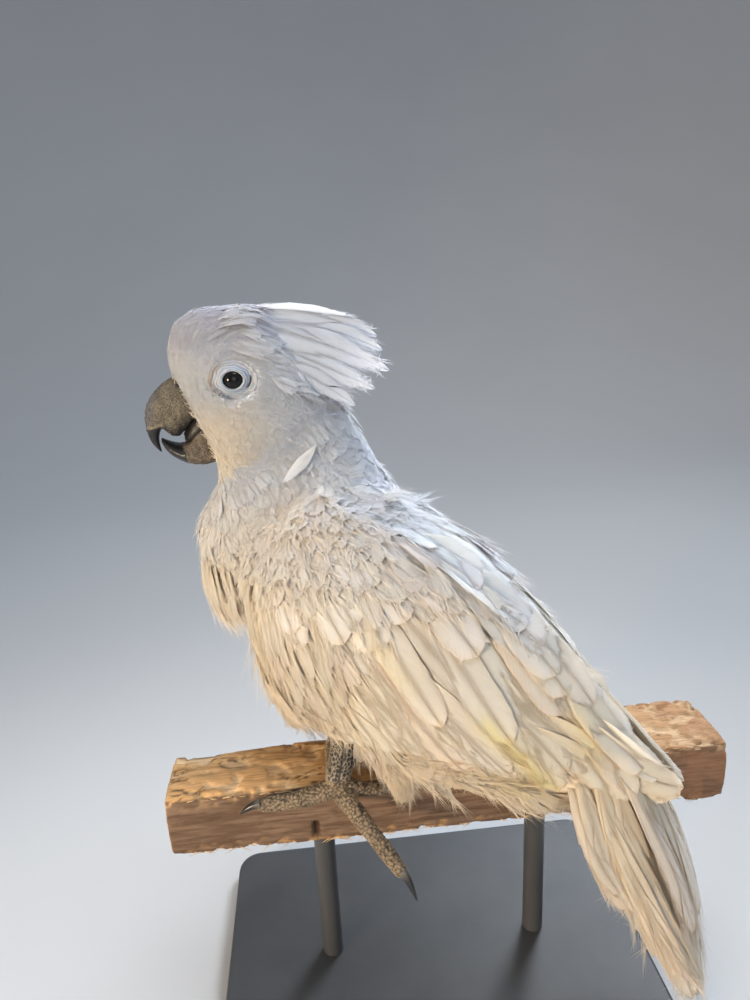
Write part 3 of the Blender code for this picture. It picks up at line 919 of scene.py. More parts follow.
# Shares of the plumage's colour; those of the forehead, the cap's plumes, the crest and the feathers' roots
# are painted shade.
LOWER_BODY_SHARE = np.array([0.92, 0.85, 0.75])
FOREHEAD_SHADE_TINT = np.array([0.80, 0.78, 0.83])
CAP_PLUME_SHADE_TINT = np.array([0.74, 0.75, 0.84])
CREST_SHADE_TINT = np.array([0.70, 0.76, 0.90])
WISP_TINT = np.array([1.02, 1.02, 1.03])
BRISTLE_TINT = np.array([0.86, 0.78, 0.66])
STRAY_TINT = (0.78, 0.82, 0.90)
ROOT_SHADE_TINT = np.array([0.97, 0.95, 0.91])
FREE_ROOT_SHADE_TINT = np.array([0.95, 0.92, 0.85])
TINT_SPREAD = 0.02


class Nodes:
    """Short ways to make a node material."""

    def __init__(self, name, roughness=0.5, **sockets):
        self.material = bpy.data.materials.new(name)
        self.material.use_nodes = True
        self.tree = self.material.node_tree
        self.shader = self.tree.nodes["Principled BSDF"]
        self.shader.inputs["Roughness"].default_value = roughness
        for key, value in sockets.items():
            self.shader.inputs[key.replace("_", " ")].default_value = value

    def node(self, kind, **settings):
        made = self.tree.nodes.new(kind)
        for key, value in settings.items():
            setattr(made, key, value)
        return made

    def link(self, source, target):
        self.tree.links.new(source, target)

    def fill(self, node, values):
        """Sets or links inputs, from (name or number, value or socket)."""
        for key, value in values:
            if isinstance(value, bpy.types.NodeSocket):
                self.link(value, node.inputs[key])
            else:
                node.inputs[key].default_value = value

    def put(self, node, **values):
        self.fill(node, values.items())

    def place(self, scale=(1, 1, 1)):
        coordinate = self.node("ShaderNodeTexCoord")
        mapping = self.node("ShaderNodeMapping")
        mapping.inputs["Scale"].default_value = scale
        self.link(coordinate.outputs["Object"], mapping.inputs["Vector"])
        return mapping.outputs["Vector"]

    def noise(self, vector, scale, detail=4.0, roughness=0.55, distortion=0.0):
        made = self.node("ShaderNodeTexNoise")
        self.put(made, Vector=vector, Scale=scale, Detail=detail, Roughness=roughness, Distortion=distortion)
        return made.outputs["Fac"]

    def ramp(self, value, stops):
        made = self.node("ShaderNodeValToRGB")
        self.link(value, made.inputs["Fac"])
        line = made.color_ramp
        while len(line.elements) < len(stops):
            line.elements.new(0.5)
        for element, (place, colour) in zip(line.elements, stops):
            element.position = place
            element.color = (*colour, 1)
        return made.outputs["Color"]

    def mix(self, kind, factor, a, b):
        made = self.node("ShaderNodeMix", data_type="RGBA", blend_type=kind)
        self.fill(made, ((0, factor), (6, a), (7, b)))
        return made.outputs[2]

    def maths(self, operation, a, b=0.0):
        made = self.node("ShaderNodeMath", operation=operation)
        self.fill(made, enumerate((a, b)))
        return made.outputs[0]

    def attribute(self, name):
        return self.node("ShaderNodeAttribute", attribute_name=name)

    def bump(self, height, strength=0.3, distance=0.0005):
        made = self.node("ShaderNodeBump")
        self.put(made, Height=height, Strength=strength, Distance=distance)
        self.link(made.outputs["Normal"], self.shader.inputs["Normal"])

    def colour(self, socket):
        self.link(socket, self.shader.inputs["Base Color"])

    def rough(self, socket):
        self.link(socket, self.shader.inputs["Roughness"])


def plumage_material(name, fibre):
    m = Nodes(
        name, roughness=0.72, Sheen_Weight=0.2, Sheen_Roughness=0.5, Specular_IOR_Level=0.25,
        Subsurface_Weight=0.6, Subsurface_Scale=0.003, Subsurface_Radius=(1.0, 0.85, 0.7),
    )
    tint = m.attribute("Tint").outputs["Color"]
    place = m.place()
    patch = m.ramp(m.noise(place, 55.0, detail=3.0), ((0.3, (0.93, 0.915, 0.89)), (0.7, (1.0, 1.0, 1.0))))
    colour = m.mix("MULTIPLY", 1.0, tint, patch)
    if fibre:
        parts = m.node("ShaderNodeSeparateXYZ")
        m.link(m.attribute("Fibre").outputs["Vector"], parts.inputs[0])
        across = m.maths("ABSOLUTE", m.maths("SUBTRACT", parts.outputs[1], 0.5))
        along = m.maths(
            "SUBTRACT", m.maths("MULTIPLY", parts.outputs[0], 80.0), m.maths("MULTIPLY", across, 50.0)
        )
        joined = m.node("ShaderNodeCombineXYZ")
        m.link(along, joined.inputs[0])
        m.link(m.maths("MULTIPLY", across, 2.0), joined.inputs[1])
        m.link(m.maths("MULTIPLY", parts.outputs[2], 40.0), joined.inputs[2])
        barbs = m.noise(joined.outputs[0], 1.0, detail=2.0)
        colour = m.mix(
            "MULTIPLY", 1.0, colour, m.ramp(barbs, ((0.3, (0.95, 0.94, 0.925)), (0.62, (1.0, 1.0, 1.0))))
        )
    else:
        m.bump(m.noise(m.place((1, 1, 0.3)), 900.0, detail=4.0), strength=0.5, distance=0.0006)
    m.colour(colour)
    return m.material


COAT = plumage_material("plumage_coat", fibre=True)
SKIN = plumage_material("plumage_skin", fibre=False)


# ---------------------------------------------------------------- feathers of each zone

def variants(count, seed, lobes=(1,), **settings):
    """Vanes of one kind, each with its own seed, and with the numbers of lobes in turn."""
    return [vane(lobes=lobes[s % len(lobes)], seed=seed + s, **settings) for s in range(count)]


def loose(count, seed, **settings):
    """Plumes of one kind, each with its own seed."""
    return [plume(seed=seed + s, **settings) for s in range(count)]


# Outlines of vanes: (share of the way along, share of the half width).
ROUND_SHAPE = ((0.0, 0.3), (0.25, 0.8), (0.6, 1.0), (0.85, 0.95), (0.95, 0.78), (1.0, 0.5))
FLIGHT_SHAPE = ((0, 0.3), (0.15, 0.85), (0.5, 1.0), (0.85, 0.92), (0.95, 0.7), (1.0, 0.35))
POINTED_SHAPE = ((0, 0.35), (0.2, 0.85), (0.45, 1.0), (0.75, 0.72), (0.92, 0.3), (1.0, 0.03))
CREST_SHAPE = ((0, 0.3), (0.2, 0.75), (0.5, 1.0), (0.72, 0.92), (0.88, 0.62), (1.0, 0.12))

# The head's and the neck's short silks, then the downy plumes of the ruff and the breast.
SILKS = variants(
    12, 0, rows=3, columns=2, shape=ROUND_SHAPE, reach=0.6, camber=0.07, groove=0.006,
    serrate=0.05, fringe=(6, 0.1, 0.3, 0.05), shaft=0, aspect=2.6,
)
CAP_SILKS = variants(
    10, 40, rows=4, columns=2, reach=0.6, camber=0.12, groove=0.012, serrate=0.08,
    fringe=(12, 0.1, 0.26, 0.035), shaft=0, aspect=4.0,
)
HAIRS = variants(
    10, 350, rows=5, columns=2, reach=0.75, camber=0.12, groove=0.015, ragged=0.1, serrate=0.1,
    fringe=(16, 0.05, 0.26, 0.035), shaft=0, aspect=5.5,
)
DOWN_VANES = variants(
    12, 20, rows=4, columns=2, reach=0.6, ragged=0.3, camber=0.14, serrate=0.12, groove=0.03,
    fringe=(15, 0.05, 0.36, 0.035), shaft=0, aspect=2.8, curl=0.2,
)
DOWN_BARBS = loose(12, 0, blades=6, spread=0.8, width=0.045, curl=0.5, lift=0.2, locks=3)
DOWNS = [both(*pair) for pair in zip(DOWN_VANES, DOWN_BARBS)]
PLUME_VANES = variants(
    12, 60, rows=6, columns=2, reach=0.75, camber=0.12, ragged=0.15, serrate=0.08, groove=0.02,
    fringe=(18, 0.05, 0.3, 0.03), shaft=0.02, aspect=6.0,
)
PLUME_BARBS = loose(12, 60, blades=8, spread=0.75, width=0.03, curl=0.5, lift=0.12, locks=4)
PLUMES = [both(*pair) for pair in zip(PLUME_VANES, PLUME_BARBS)]
WISPS = loose(8, 300, blades=9, stations=4, spread=0.85, width=0.035, curl=1.0, lift=0.35, locks=3)
BRISTLES = loose(5, 330, blades=3, spread=0.5, width=0.16, curl=0.5, lift=0.3, locks=3)

# The firm feathers of the back, the wings, the tail and the crest.
CONTOURS = variants(
    10, 80, rows=8, columns=3, shape=ROUND_SHAPE, reach=0.55, camber=0.12, ragged=0.1,
    serrate=0.05, groove=0.015, fringe=(16, 0.2, 0.16, 0.03), shaft=0.03, aspect=3.4,
)
COVERTS = variants(
    8, 100, rows=12, columns=3, shape=ROUND_SHAPE, reach=0.5, camber=0.15, serrate=0.015,
    groove=0.008, fringe=(10, 0.3, 0.06, 0.025), shaft=0.035, aspect=4.4,
)
RAGGED = variants(
    6, 120, lobes=(3,), rows=12, columns=3, shape=ROUND_SHAPE, reach=0.5, camber=0.15, ragged=0.25,
    serrate=0.05, gap=0.03, groove=0.015, fringe=(20, 0.1, 0.14, 0.025), shaft=0.04, aspect=4.6,
)
FLIGHTS = variants(
    8, 140, rows=20, columns=3, shape=FLIGHT_SHAPE, reach=0.36, camber=0.14, serrate=0.012,
    groove=0.008, gap=0.006, fringe=(10, 0.4, 0.05, 0.02), aspect=8.0, shaft=0.045,
)
HAIRY_FLIGHTS = variants(
    8, 240, lobes=(1, 2), rows=20, columns=3, shape=FLIGHT_SHAPE, reach=0.42, camber=0.14,
    ragged=0.06, serrate=0.02, groove=0.012, gap=0.01, fringe=(40, 0.45, 0.13, 0.025), aspect=7.0,
    shaft=0.04,
)
TAILS = variants(
    8, 260, lobes=(2, 3), rows=20, columns=3, shape=FLIGHT_SHAPE, reach=0.5, camber=0.16,
    ragged=0.08, serrate=0.03, groove=0.012, gap=0.008, fringe=(44, 0.25, 0.12, 0.022), aspect=12.0,
)
CRESTS = variants(
    8, 180, lobes=(1, 2, 3), rows=24, columns=4, shape=CREST_SHAPE, reach=0.34, camber=0.07,
    serrate=0.03, groove=0.008, gap=0.014, ragged=0.22, fringe=(24, 0.6, 0.05, 0.022), aspect=9.0,
    shaft=0.035,
)
POINTED = variants(
    1, 400, rows=10, columns=3, shape=POINTED_SHAPE, reach=0.4, camber=0.3, serrate=0.01,
    fringe=(4, 0.5, 0.04, 0.03), shaft=0.03, aspect=4.2,
)


def read_all(points):
    """Places in both frames, and heights above the planes of the head and the neck."""
    q = BODY.read(points)
    h = HEAD.read(points)
    one, two = head_planes(points)
    return q, h, one, two


def back_line(forward):
    """Height of the line where the back begins, in the body's frame."""
    return 205 + (forward + 150) * 0.78


def tint_at(points, own):
    """White plumage by place: painted cool shade on the head and back, creamier on breast, wings and belly,
    partly the plumage's own cream and partly painted warm light.
    """
    q, h, one, two = read_all(points)
    # Painted warm light on the lower body and the throat; the back and the top of the head stay in painted
    # cool shade.
    warm = risen(300 - q[:, 2], 55.0)
    front = risen(h[:, 0] + 26, 30.0) * risen(-7 - h[:, 2], 16.0)
    warm = np.maximum(warm * (one < 0), front * (one > 0))
    back = risen(q[:, 2] - (back_line(q[:, 0])), 14.0) * (two < 0)
    warm = warm * (1 - 0.75 * back)
    base = COOL_SHADE * (1 - warm[:, None]) + WARM_LIGHT_AND_CREAM * warm[:, None]
    # The belly, the flanks and the tail are darker and creamier.
    low = risen(238 - q[:, 2], 60.0) * (one < 0)
    base = base * (1 - low[:, None] * (1 - LOWER_BODY_SHARE))
    low = np.array([noise.noise(Vector(p) * 0.045) for p in points])
    base = base * (1 - 0.35 * np.clip(low, 0, 1)[:, None]) + WHITE * 0.35 * np.clip(low, 0, 1)[:, None]
    base = base * (1 + own.normal(0, TINT_SPREAD, (len(points), 1)))
    return np.clip(base + own.normal(0, TINT_SPREAD * 0.35, (len(points), 3)), 0.02, 0.93)


def zone(
    roots, templates, length, width, rise, cling=0.9, yaw=0.15, roll=0.1, bend=0.15, droop=0.0, seed=0,
    steps=5, tint=None, ways=None, size=0.14, clump=0.0,
):
    """Feathers at the roots, in random turns and sizes. length, width and droop are numbers or arrays.

    rise, cling, droop and ways: as for spines. yaw, roll, bend and size: spreads of each. clump: how far
    neighbours turn together.
    """
    own = np.random.default_rng(seed)
    count = len(roots)
    lengths = np.full(count, length) * np.clip(own.normal(1, size, count), 0.6, 1.5)
    widths = np.full(count, width) * np.clip(own.normal(1, size, count), 0.6, 1.5)
    yaws = own.normal(0, yaw, count)
    if clump:
        for i, p in enumerate(roots):
            yaws[i] += clump * noise.noise(Vector(p) * 0.11)
    bends = own.normal(0, bend, count)
    rolls = own.normal(0, roll, count)
    droops = np.full(count, droop) * own.uniform(0.7, 1.3, count)
    low, high, power = rise
    high = np.full(count, high) * np.clip(own.normal(1, 0.18, count), 0.5, 1.7)
    line, normals = spines(roots, lengths, yaws, bends, cling, (low, high, power), steps, droops, ways)
    tips = tint_at(line[:, -1], own) * (1 if tint is None else tint)
    # The roots take painted shade.
    tints = tips * ROOT_SHADE_TINT
    uv = wrap_at(line[:, 0])
    which = own.integers(0, len(templates), count)
    parts = []
    for k, template in enumerate(templates):
        m = which == k
        if m.any():
            parts.append(
                lay(template, line[m], normals[m], widths[m], rolls[m], tints[m], tips[m], uv[m], own)
            )
    return parts


# ---------------------------------------------------------------- coat of the head and neck


def near_any(points, names, reach):
    """Which points are within reach of a node, or inside it."""
    out = np.zeros(len(points), bool)
    for name in names:
        p, f = mesh_of(nodes[name])
        tree = tree_of(p, f)
        low, high = p.min(0) - reach, p.max(0) + reach
        box = ((points > low) & (points < high)).all(1)
        for i in np.flatnonzero(box):
            at, normal, _, away = tree.find_nearest(Vector(points[i]))
            if away < reach or (Vector(points[i]) - at).dot(normal) < 0:
                out[i] = True
    return out


BARE_RING = 7.8  # how far round the eye the skin is bare
FAR = 99


def from_eye(h):
    """How far points are from the middle of the eye on the sides of the head, from places in its frame."""
    away = np.hypot(h[:, 0] / 1.12, h[:, 2])
    return np.where(np.abs(h[:, 1]) > 9, away, FAR)


bill_near = near_any(skin_points, ("bill_upper", "bill_lower"), 0.8)
legs_near = near_any(skin_points, ("tarsus_left", "tarsus_right"), 1.2)
eye_away = from_eye(skin_head)
is_head = skin_one > 0
is_neck = (skin_one <= 0) & (skin_two > 0)
bare = (eye_away < BARE_RING) & is_head


def forehead_painted_shade(h):
    """Painted shade on the forehead: its down is painted greyer than the rest, by place in the head's own
    frame.
    """
    share = risen(h[:, 2] - 6, 12.0) * risen(h[:, 0] + 16, 14.0)
    return 1 - share[:, None] * (1 - FOREHEAD_SHADE_TINT)


def head_coat():
    """Silks of the face and the crown, shorter towards the bill and the eyes."""
    h = skin_head
    keep = is_head & ~bare & ~bill_near
    face = risen(h[:, 0] - 6, 14.0)
    spacing = 2.5 - 0.9 * face
    spacing = np.where(eye_away < 15, np.minimum(spacing, 1.35), spacing)
    roots = scatter(keep, spacing, seed=11)
    hr = HEAD.read(roots)
    away = from_eye(hr)
    face = risen(hr[:, 0] - 4, 16.0)
    length = 10.0 - 5.2 * face
    length = length * (0.36 + 0.64 * risen(away - 8, 10.0))
    width = length * 0.38
    # The forehead's silks carry painted shade.
    parts = zone(
        roots, SILKS, length, width, (0.0, (0.2 + length * 0.035) * np.clip((away - 10) / 5, 0.05, 1), 1.2),
        cling=1.0, yaw=0.08, roll=0.03, bend=0.1, seed=12, clump=0.3, steps=4, tint=forehead_painted_shade(hr),
    )
    # Long silky feathers of the side of the crown, which lie over the lower edge of the crest.
    crown = is_head & (h[:, 0] > -40) & (h[:, 0] < 1) & (h[:, 2] > -4) & (h[:, 2] < 27) & (eye_away > 13)
    roots = scatter(crown, 3.9, seed=35)
    hr = HEAD.read(roots)
    rear = np.clip(-hr[:, 0] / 30.0, 0, 1)
    ways = HEAD.way(np.stack((-np.ones(len(hr)), 0 * rear, -0.16 - 0.3 * rear), 1))
    return parts + zone(
        roots, HAIRS, 17.0 + 9.0 * rear, 3.9, (0.4, 1.4 + 1.3 * rear, 1.2), cling=0.85, yaw=0.1, roll=0.08,
        bend=0.12, seed=36, ways=ways, clump=0.25, size=0.26,
    )


def cap_coat():
    """The forehead's short upswept feathers that end in a small point over the crest."""
    h = skin_head
    keep = is_head & (h[:, 2] > 16) & (h[:, 0] > -8) & (h[:, 0] < 30) & (np.abs(h[:, 1]) < 16)
    roots = scatter(keep, 3.1, seed=13)
    hr = HEAD.read(roots)
    back = risen(20 - hr[:, 0], 24.0)
    length = 9.5 + 10.0 * back
    top = bell(hr[:, 1], 8.0)
    # The forehead's feathers carry painted shade.
    parts = zone(
        roots, HAIRS, length, length * 0.21, (0.3, 0.7 + 3.0 * back * top, 1.6), cling=0.93, yaw=0.16,
        roll=0.1, bend=0.2, seed=14, clump=0.5, tint=forehead_painted_shade(hr),
    )
    # The longest of them, which end in a point over the root of the crest.
    own = np.random.default_rng(81)
    items = []
    for l in np.linspace(-11, 11, 23):
        drop = 0.055 * l * l
        root = (17 - 0.5 * drop + own.uniform(-3, 3), l * 0.8, 27.0 - drop)
        mid = (-3 + own.uniform(-2, 2), l, 34.6 - drop)
        tip = (-18 + own.uniform(-5, 4) + 0.06 * l * l, l * 0.75, 33.0 - drop + own.uniform(-1.5, 0.5))
        way = HEAD.way((0.1, l / 13.0, 1.0))
        items.append((HEAD.at([root, mid, tip]), way, way, 3.0))
    # These long plumes are painted in cool grey shade.
    return parts + free_feathers(items, HAIRS, seed=82, tint=CAP_PLUME_SHADE_TINT)


def bristle_coat():
    """Short bristles over the base of the bill."""
    ring = near_any(skin_points, ("bill_upper", "bill_lower"), 3.2) & ~bill_near & is_head
    roots = scatter(ring, 1.5, seed=17)
    hr = HEAD.read(roots)
    ways = HEAD.way(np.stack((np.ones(len(hr)), 0.2 * np.sign(hr[:, 1]), -0.5 - 0.02 * hr[:, 2]), 1))
    return zone(
        roots, BRISTLES, 4.6, 1.4, (0.3, 1.9, 1.0), cling=0.3, yaw=0.5, roll=0.3, bend=0.6, seed=18,
        ways=ways, steps=4, tint=BRISTLE_TINT,
    )


def neck_coat():
    """Silks of the nape and the throat, longer further down."""
    keep = is_neck & ~bill_near
    roots = scatter(keep, 3.3, seed=15)
    two = head_planes(roots)[1]
    down = np.clip(1 - two / 50.0, 0, 1)
    length = 12.0 + 6.0 * down
    return zone(
        roots, CAP_SILKS, length, length * 0.27, (0.1, 0.9 + 1.8 * down, 1.3), cling=0.96, yaw=0.12,
        roll=0.06, bend=0.15, seed=16, clump=0.4,
    )


def stray_feather():
    """The one pointed feather that stands off the cheek."""
    line = [HEAD.at((-38, 23, -35)), HEAD.at((-29, 28, -43)), HEAD.at((-19, 30.5, -51))]
    return free_feathers(
        [(line, HEAD.way((0.1, 1, 0.2)), HEAD.way((-0.2, 1, 0.3)), 3.1)], POINTED, seed=70, tint=STRAY_TINT
    )


# ---------------------------------------------------------------- coat of the body

sf, _, su = skin_body.T
is_body = skin_two <= 0
is_wing = np.isin(skin_owner, WINGS) & is_body
is_thigh = np.isin(skin_owner, THIGHS) & is_body
ruff_low = 268 + np.clip((-10 - sf) * 0.55, -6, 22)
is_ruff = is_body & (su > ruff_low) & (sf > -46)
front = is_body & ~is_ruff & (sf > 8)
top = is_body & ~is_ruff & ~is_wing & (su > back_line(sf))
under = is_body & ~is_ruff & ~is_wing & ~front & ~top & ~is_thigh


def ruff_coat():
    """Down, plumes and loose wisps of the ruff, longest at its hem."""
    roots = scatter(is_ruff | (is_neck & (skin_two < 7)), 4.6, seed=21)
    q = BODY.read(roots)
    forward = risen(q[:, 0] - 30, 40.0)
    side = bell(q[:, 0] - 2, 30.0)
    hem = forward * risen(282 - q[:, 2], 12.0)
    length = 17.0 + 4.0 * forward + 6.0 * hem
    first = zone(
        roots, DOWNS, length, length * 0.3, (0.4, 3.2 + 1.8 * side, 1.2), cling=0.85 - 0.4 * hem, yaw=0.22,
        roll=0.1, bend=0.3, droop=0.3 * forward + 0.5 * hem, seed=22, clump=1.0,
    )
    more = scatter(is_ruff, 6.4, seed=23)
    first += zone(
        more, PLUMES, 21.0, 4.2, (0.5, 3.8, 1.2), cling=0.85, yaw=0.25, roll=0.12, bend=0.3, seed=24,
        clump=0.8,
    )
    loose = scatter(is_ruff | (is_neck & (skin_two < 4)), 8.5, seed=37)
    return first + zone(
        loose, WISPS, 17.0, 5.5, (1.6, 5.4, 1.1), cling=0.6, yaw=0.4, roll=0.3, bend=0.4, droop=0.2,
        seed=38, clump=1.0, tint=WISP_TINT,
    )


def breast_coat():
    """Long plumes of the breast."""
    roots = scatter(front, 5.5, seed=25)
    q = BODY.read(roots)
    low = risen(230 - q[:, 2], 60.0)
    parts = zone(
        roots, PLUMES, 37.0 - 6 * low, 5.2, (0.5, 3.6, 1.2), cling=0.85, yaw=0.08, roll=0.08, bend=0.12,
        droop=0.2, seed=26, clump=0.3,
    )
    # The ragged hem over the legs.
    hem = scatter((front | (under & (sf > -20))) & ~legs_near & (su < 212) & (su > 180), 7.0, seed=39)
    down = BODY.way(np.tile((0.06, 0, -1.0), (len(hem), 1)))
    parts += zone(
        hem, PLUMES, 27.0, 4.6, (0.8, 5.0, 1.0), cling=0.3, yaw=0.14, roll=0.15, bend=0.2, droop=0.25,
        seed=40, ways=down, clump=0.4,
    )
    return parts + zone(
        hem[::2], WISPS, 30.0, 6.0, (0.8, 6.0, 1.0), cling=0.2, yaw=0.2, roll=0.3, bend=0.4, droop=0.3,
        seed=42, ways=down[::2],
    )


def under_coat():
    """Plumes and wisps of the belly and under the tail."""
    keep = under & ~legs_near & (sf > -140)
    roots = scatter(keep, 7.4, seed=27)
    q = BODY.read(roots)
    back = risen(-70 - q[:, 0], 50.0)
    parts = zone(
        roots, PLUMES, 22.0, 4.8, (0.4, 3.0, 1.2), cling=0.85, yaw=0.12, roll=0.1, bend=0.2,
        droop=0.12 * (1 - back), seed=28, clump=0.3,
    )
    low = scatter(keep & (su < 168) & (sf > -112), 8.0, seed=33)
    return parts + zone(
        low, WISPS, 20.0, 6.0, (0.5, 5.0, 1.3), cling=0.35, yaw=0.35, roll=0.4, bend=0.5, droop=0.45,
        seed=34,
    )


def thigh_coat():
    """Short plumes of the thighs, shorter still above the feet."""
    roots = scatter(is_thigh & ~legs_near, 3.9, seed=29)
    q = BODY.read(roots)
    low = risen(180 - q[:, 2], 25.0)
    return zone(
        roots, PLUMES, 19.0 - 8 * low, 4.2 - 1.4 * low, (0.4, 3.0, 1.2), cling=0.85, yaw=0.2, roll=0.2,
        bend=0.25, droop=0.25, seed=30, clump=0.5,
    )


def back_coat():
    """Plumes and contour feathers of the back, with larger ones along its ridge."""
    roots = scatter(top, 5.2, seed=31)
    parts = zone(
        roots, PLUMES + CONTOURS, 26.0, 6.4, (0.3, 2.6, 1.2), cling=0.92, yaw=0.12, roll=0.08, bend=0.12,
        seed=32, clump=0.35,
    )
    ridge = scatter(top & (sf < -60) & (sf > -138), 9.0, seed=41)
    return parts + zone(
        ridge, COVERTS, 38.0, 8.0, (1.0, 2.4, 1.2), cling=0.9, yaw=0.06, roll=0.05, bend=0.08, seed=42
    )


piece("coat_ruff", ruff_coat(), soft=0.68)
piece("coat_breast", breast_coat(), soft=0.55)
piece("coat_under", under_coat(), soft=0.5)
piece("coat_thighs", thigh_coat(), soft=0.5)
piece("coat_back", back_coat(), soft=0.5)


# ---------------------------------------------------------------- wings

# Rows of big feathers in the side view of the body: root (forward, up), tip (forward, up), half width.
SECONDARIES = [
    ((-8, 222), (-34, 170), 8.5),
    ((-20, 226), (-56, 164), 9.5),
    ((-32, 229), (-72, 160), 10.0),
    ((-42, 231), (-86, 163), 10.0),
    ((-52, 233), (-99, 168), 10.0),
    ((-62, 235), (-112, 174), 9.5),
    ((-74, 236), (-126, 173), 9.5),
    ((-86, 237), (-138, 172), 9.5),
]
PRIMARIES = [
    ((-96, 237), (-148, 171), 9.0),
    ((-104, 236), (-157, 168), 9.0),
    ((-110, 236), (-166, 166), 9.0),
    ((-116, 238), (-168, 168), 9.0),
    ((-118, 243), (-172, 170), 9.5),
    ((-114, 248), (-170, 176), 9.5),
]
LONG_COVERTS = [
    ((-40, 262), (-78, 196), 9.0),
    ((-50, 262), (-100, 190), 7.5),
    ((-62, 262), (-107, 188), 9.0),
    ((-74, 262), (-113, 198), 9.5),
    ((-86, 262), (-124, 203), 9.5),
    ((-96, 260), (-136, 205), 9.5),
    ((-104, 256), (-146, 204), 9.0),
    ((-110, 250), (-154, 196), 8.5),
]
COVERT_ROW = [
    ((12, 276), (-14, 232), 8.0),
    ((-2, 281), (-33, 236), 9.0),
    ((-20, 277), (-46, 230), 8.5),
    ((-32, 279), (-60, 243), 8.0),
    ((-48, 281), (-83, 226), 10.5),
    ((-64, 274), (-94, 236), 9.0),
    ((-78, 277), (-109, 228), 11.5),
    ((-92, 266), (-124, 222), 10.0),
    ((-102, 256), (-138, 214), 9.0),
]
UPPER_ROW = [
    ((14, 284), (-6, 250), 7.0),
    ((-2, 289), (-26, 254), 7.5),
    ((-18, 288), (-42, 254), 7.5),
    ((-34, 290), (-60, 256), 7.5),
    ((-50, 290), (-76, 252), 8.0),
    ((-66, 284), (-92, 250), 8.0),
    ((-82, 276), (-108, 246), 8.0),
    ((-96, 268), (-122, 238), 7.5),
]


def struck(start, way):
    """Where a ray from outside meets the skin, or None."""
    hit = skin_tree.ray_cast(Vector(start), Vector(way), 500)[0]
    return None if hit is None else np.array(hit)


def on_side(places, side):
    """Places on the skin straight in from the side of the body, from (forward, up)."""
    out = []
    inward = BODY.way((0, -side, 0))
    for f, u in places:
        # The far wing lies a little lower, under the ridge of the back.
        u -= 5.0 * (side < 0) * (f < -70)
        hit = struck(BODY.at((f, 90 * side, u)), inward)
        if hit is None:
            hit = np.array(skin_tree.find_nearest(Vector(BODY.at((f, 16 * side, u))))[0])
        out.append(hit)
    return np.array(out)


def row(side, table, templates, rise, seed, cling=0.8, doubles=1, jitter=2.0, roll=0.06):
    """Big feathers down one side, from a table of their roots, tips and half widths in the side view."""
    own = np.random.default_rng(seed)
    roots, tips, halves = [], [], []
    for (rf, ru), (tf, tu), half in table:
        for d in range(doubles):
            shift = d * 0.5
            roots.append(
                (rf + own.normal(0, jitter) - 8 * shift, ru + own.normal(0, jitter * 0.6) + 2 * shift)
            )
            tips.append((tf + own.normal(0, jitter) - 8 * shift, tu + own.normal(0, jitter) + 3 * shift))
            halves.append(half)
    roots, tips, halves = np.array(roots), np.array(tips), np.array(halves)
    at = on_side(roots, side)
    step = tips - roots
    ways = BODY.way(np.stack((step[:, 0], np.zeros(len(step)), step[:, 1]), 1))
    length = np.hypot(step[:, 0], step[:, 1])
    return zone(
        at, templates, length, halves, rise, cling=cling, yaw=0.03, roll=roll, bend=0.05, seed=seed + 1,
        steps=8, ways=ways, size=0.05,
    )


TERTIALS = [
    ((-108, 246), (-164, 178), 9.0),
    ((-116, 242), (-169, 173), 9.0),
    ((-124, 236), (-172, 172), 9.5),
]


RIDGE_ROW = [
    ((-66, 272), (-104, 252), 8.0),
    ((-80, 266), (-119, 234), 8.5),
    ((-94, 256), (-134, 214), 9.0),
    ((-106, 246), (-148, 196), 9.0),
    ((-118, 232), (-160, 180), 9.0),
    ((-130, 216), (-170, 168), 8.5),
]


def wing_coat(side):
    """Small contour feathers, then the rows of big ones from the longest up to the shoulder."""
    seed = 200 if side > 0 else 300
    # The far wing's feathers lie flatter, so that none stands over the ridge of the back.
    flat = 1.0 if side > 0 else 0.45
    keep = is_wing & (skin_body[:, 1] * side > 0) & ~is_ruff & (sf > -140) & (su > 188)
    roots = scatter(keep, 8.6, seed=seed)
    rear = risen(-110 - BODY.read(roots)[:, 0], 25.0)
    parts = zone(
        roots, CONTOURS, 25.0 - 9 * rear, 7.2 - 2 * rear, (0.2, 0.8, 1.2), cling=0.97, yaw=0.06, roll=0.02,
        bend=0.06, seed=seed + 1,
    )
    parts += row(side, PRIMARIES, FLIGHTS, (0.6, 1.6 * flat, 1.0), seed + 10, cling=0.35)
    parts += row(side, SECONDARIES, HAIRY_FLIGHTS, (0.8, 2.2 * flat, 1.0), seed + 20, cling=0.6, doubles=2)
    parts += row(side, TERTIALS, FLIGHTS, (1.2, 2.6 * flat, 1.0), seed + 27, cling=0.35, jitter=1.0)
    parts += row(side, LONG_COVERTS, FLIGHTS, (1.4, 2.9 * flat, 1.0), seed + 30, cling=0.85)
    parts += row(side, RIDGE_ROW, FLIGHTS, (1.6, 3.2 if side > 0 else 1.2, 1.0), seed + 33, cling=0.9)
    parts += row(side, COVERT_ROW, COVERTS, (1.8, 3.8 * flat, 1.1), seed + 40, cling=0.9, doubles=2)
    parts += row(
        side, UPPER_ROW, COVERTS + RAGGED, (2.2, 4.4 * flat, 1.1), seed + 50, cling=0.92, doubles=2,
        roll=0.12,
    )
    high = is_wing & (skin_body[:, 1] * side > 0) & ~is_ruff & (su > 264)
    parts += zone(
        scatter(high, 6.0, seed=seed + 60), PLUMES, 25.0, 5.0, (1.8, 4.2, 1.2), cling=0.9, yaw=0.18,
        roll=0.12, bend=0.2, seed=seed + 61, clump=0.7,
    )
    return parts


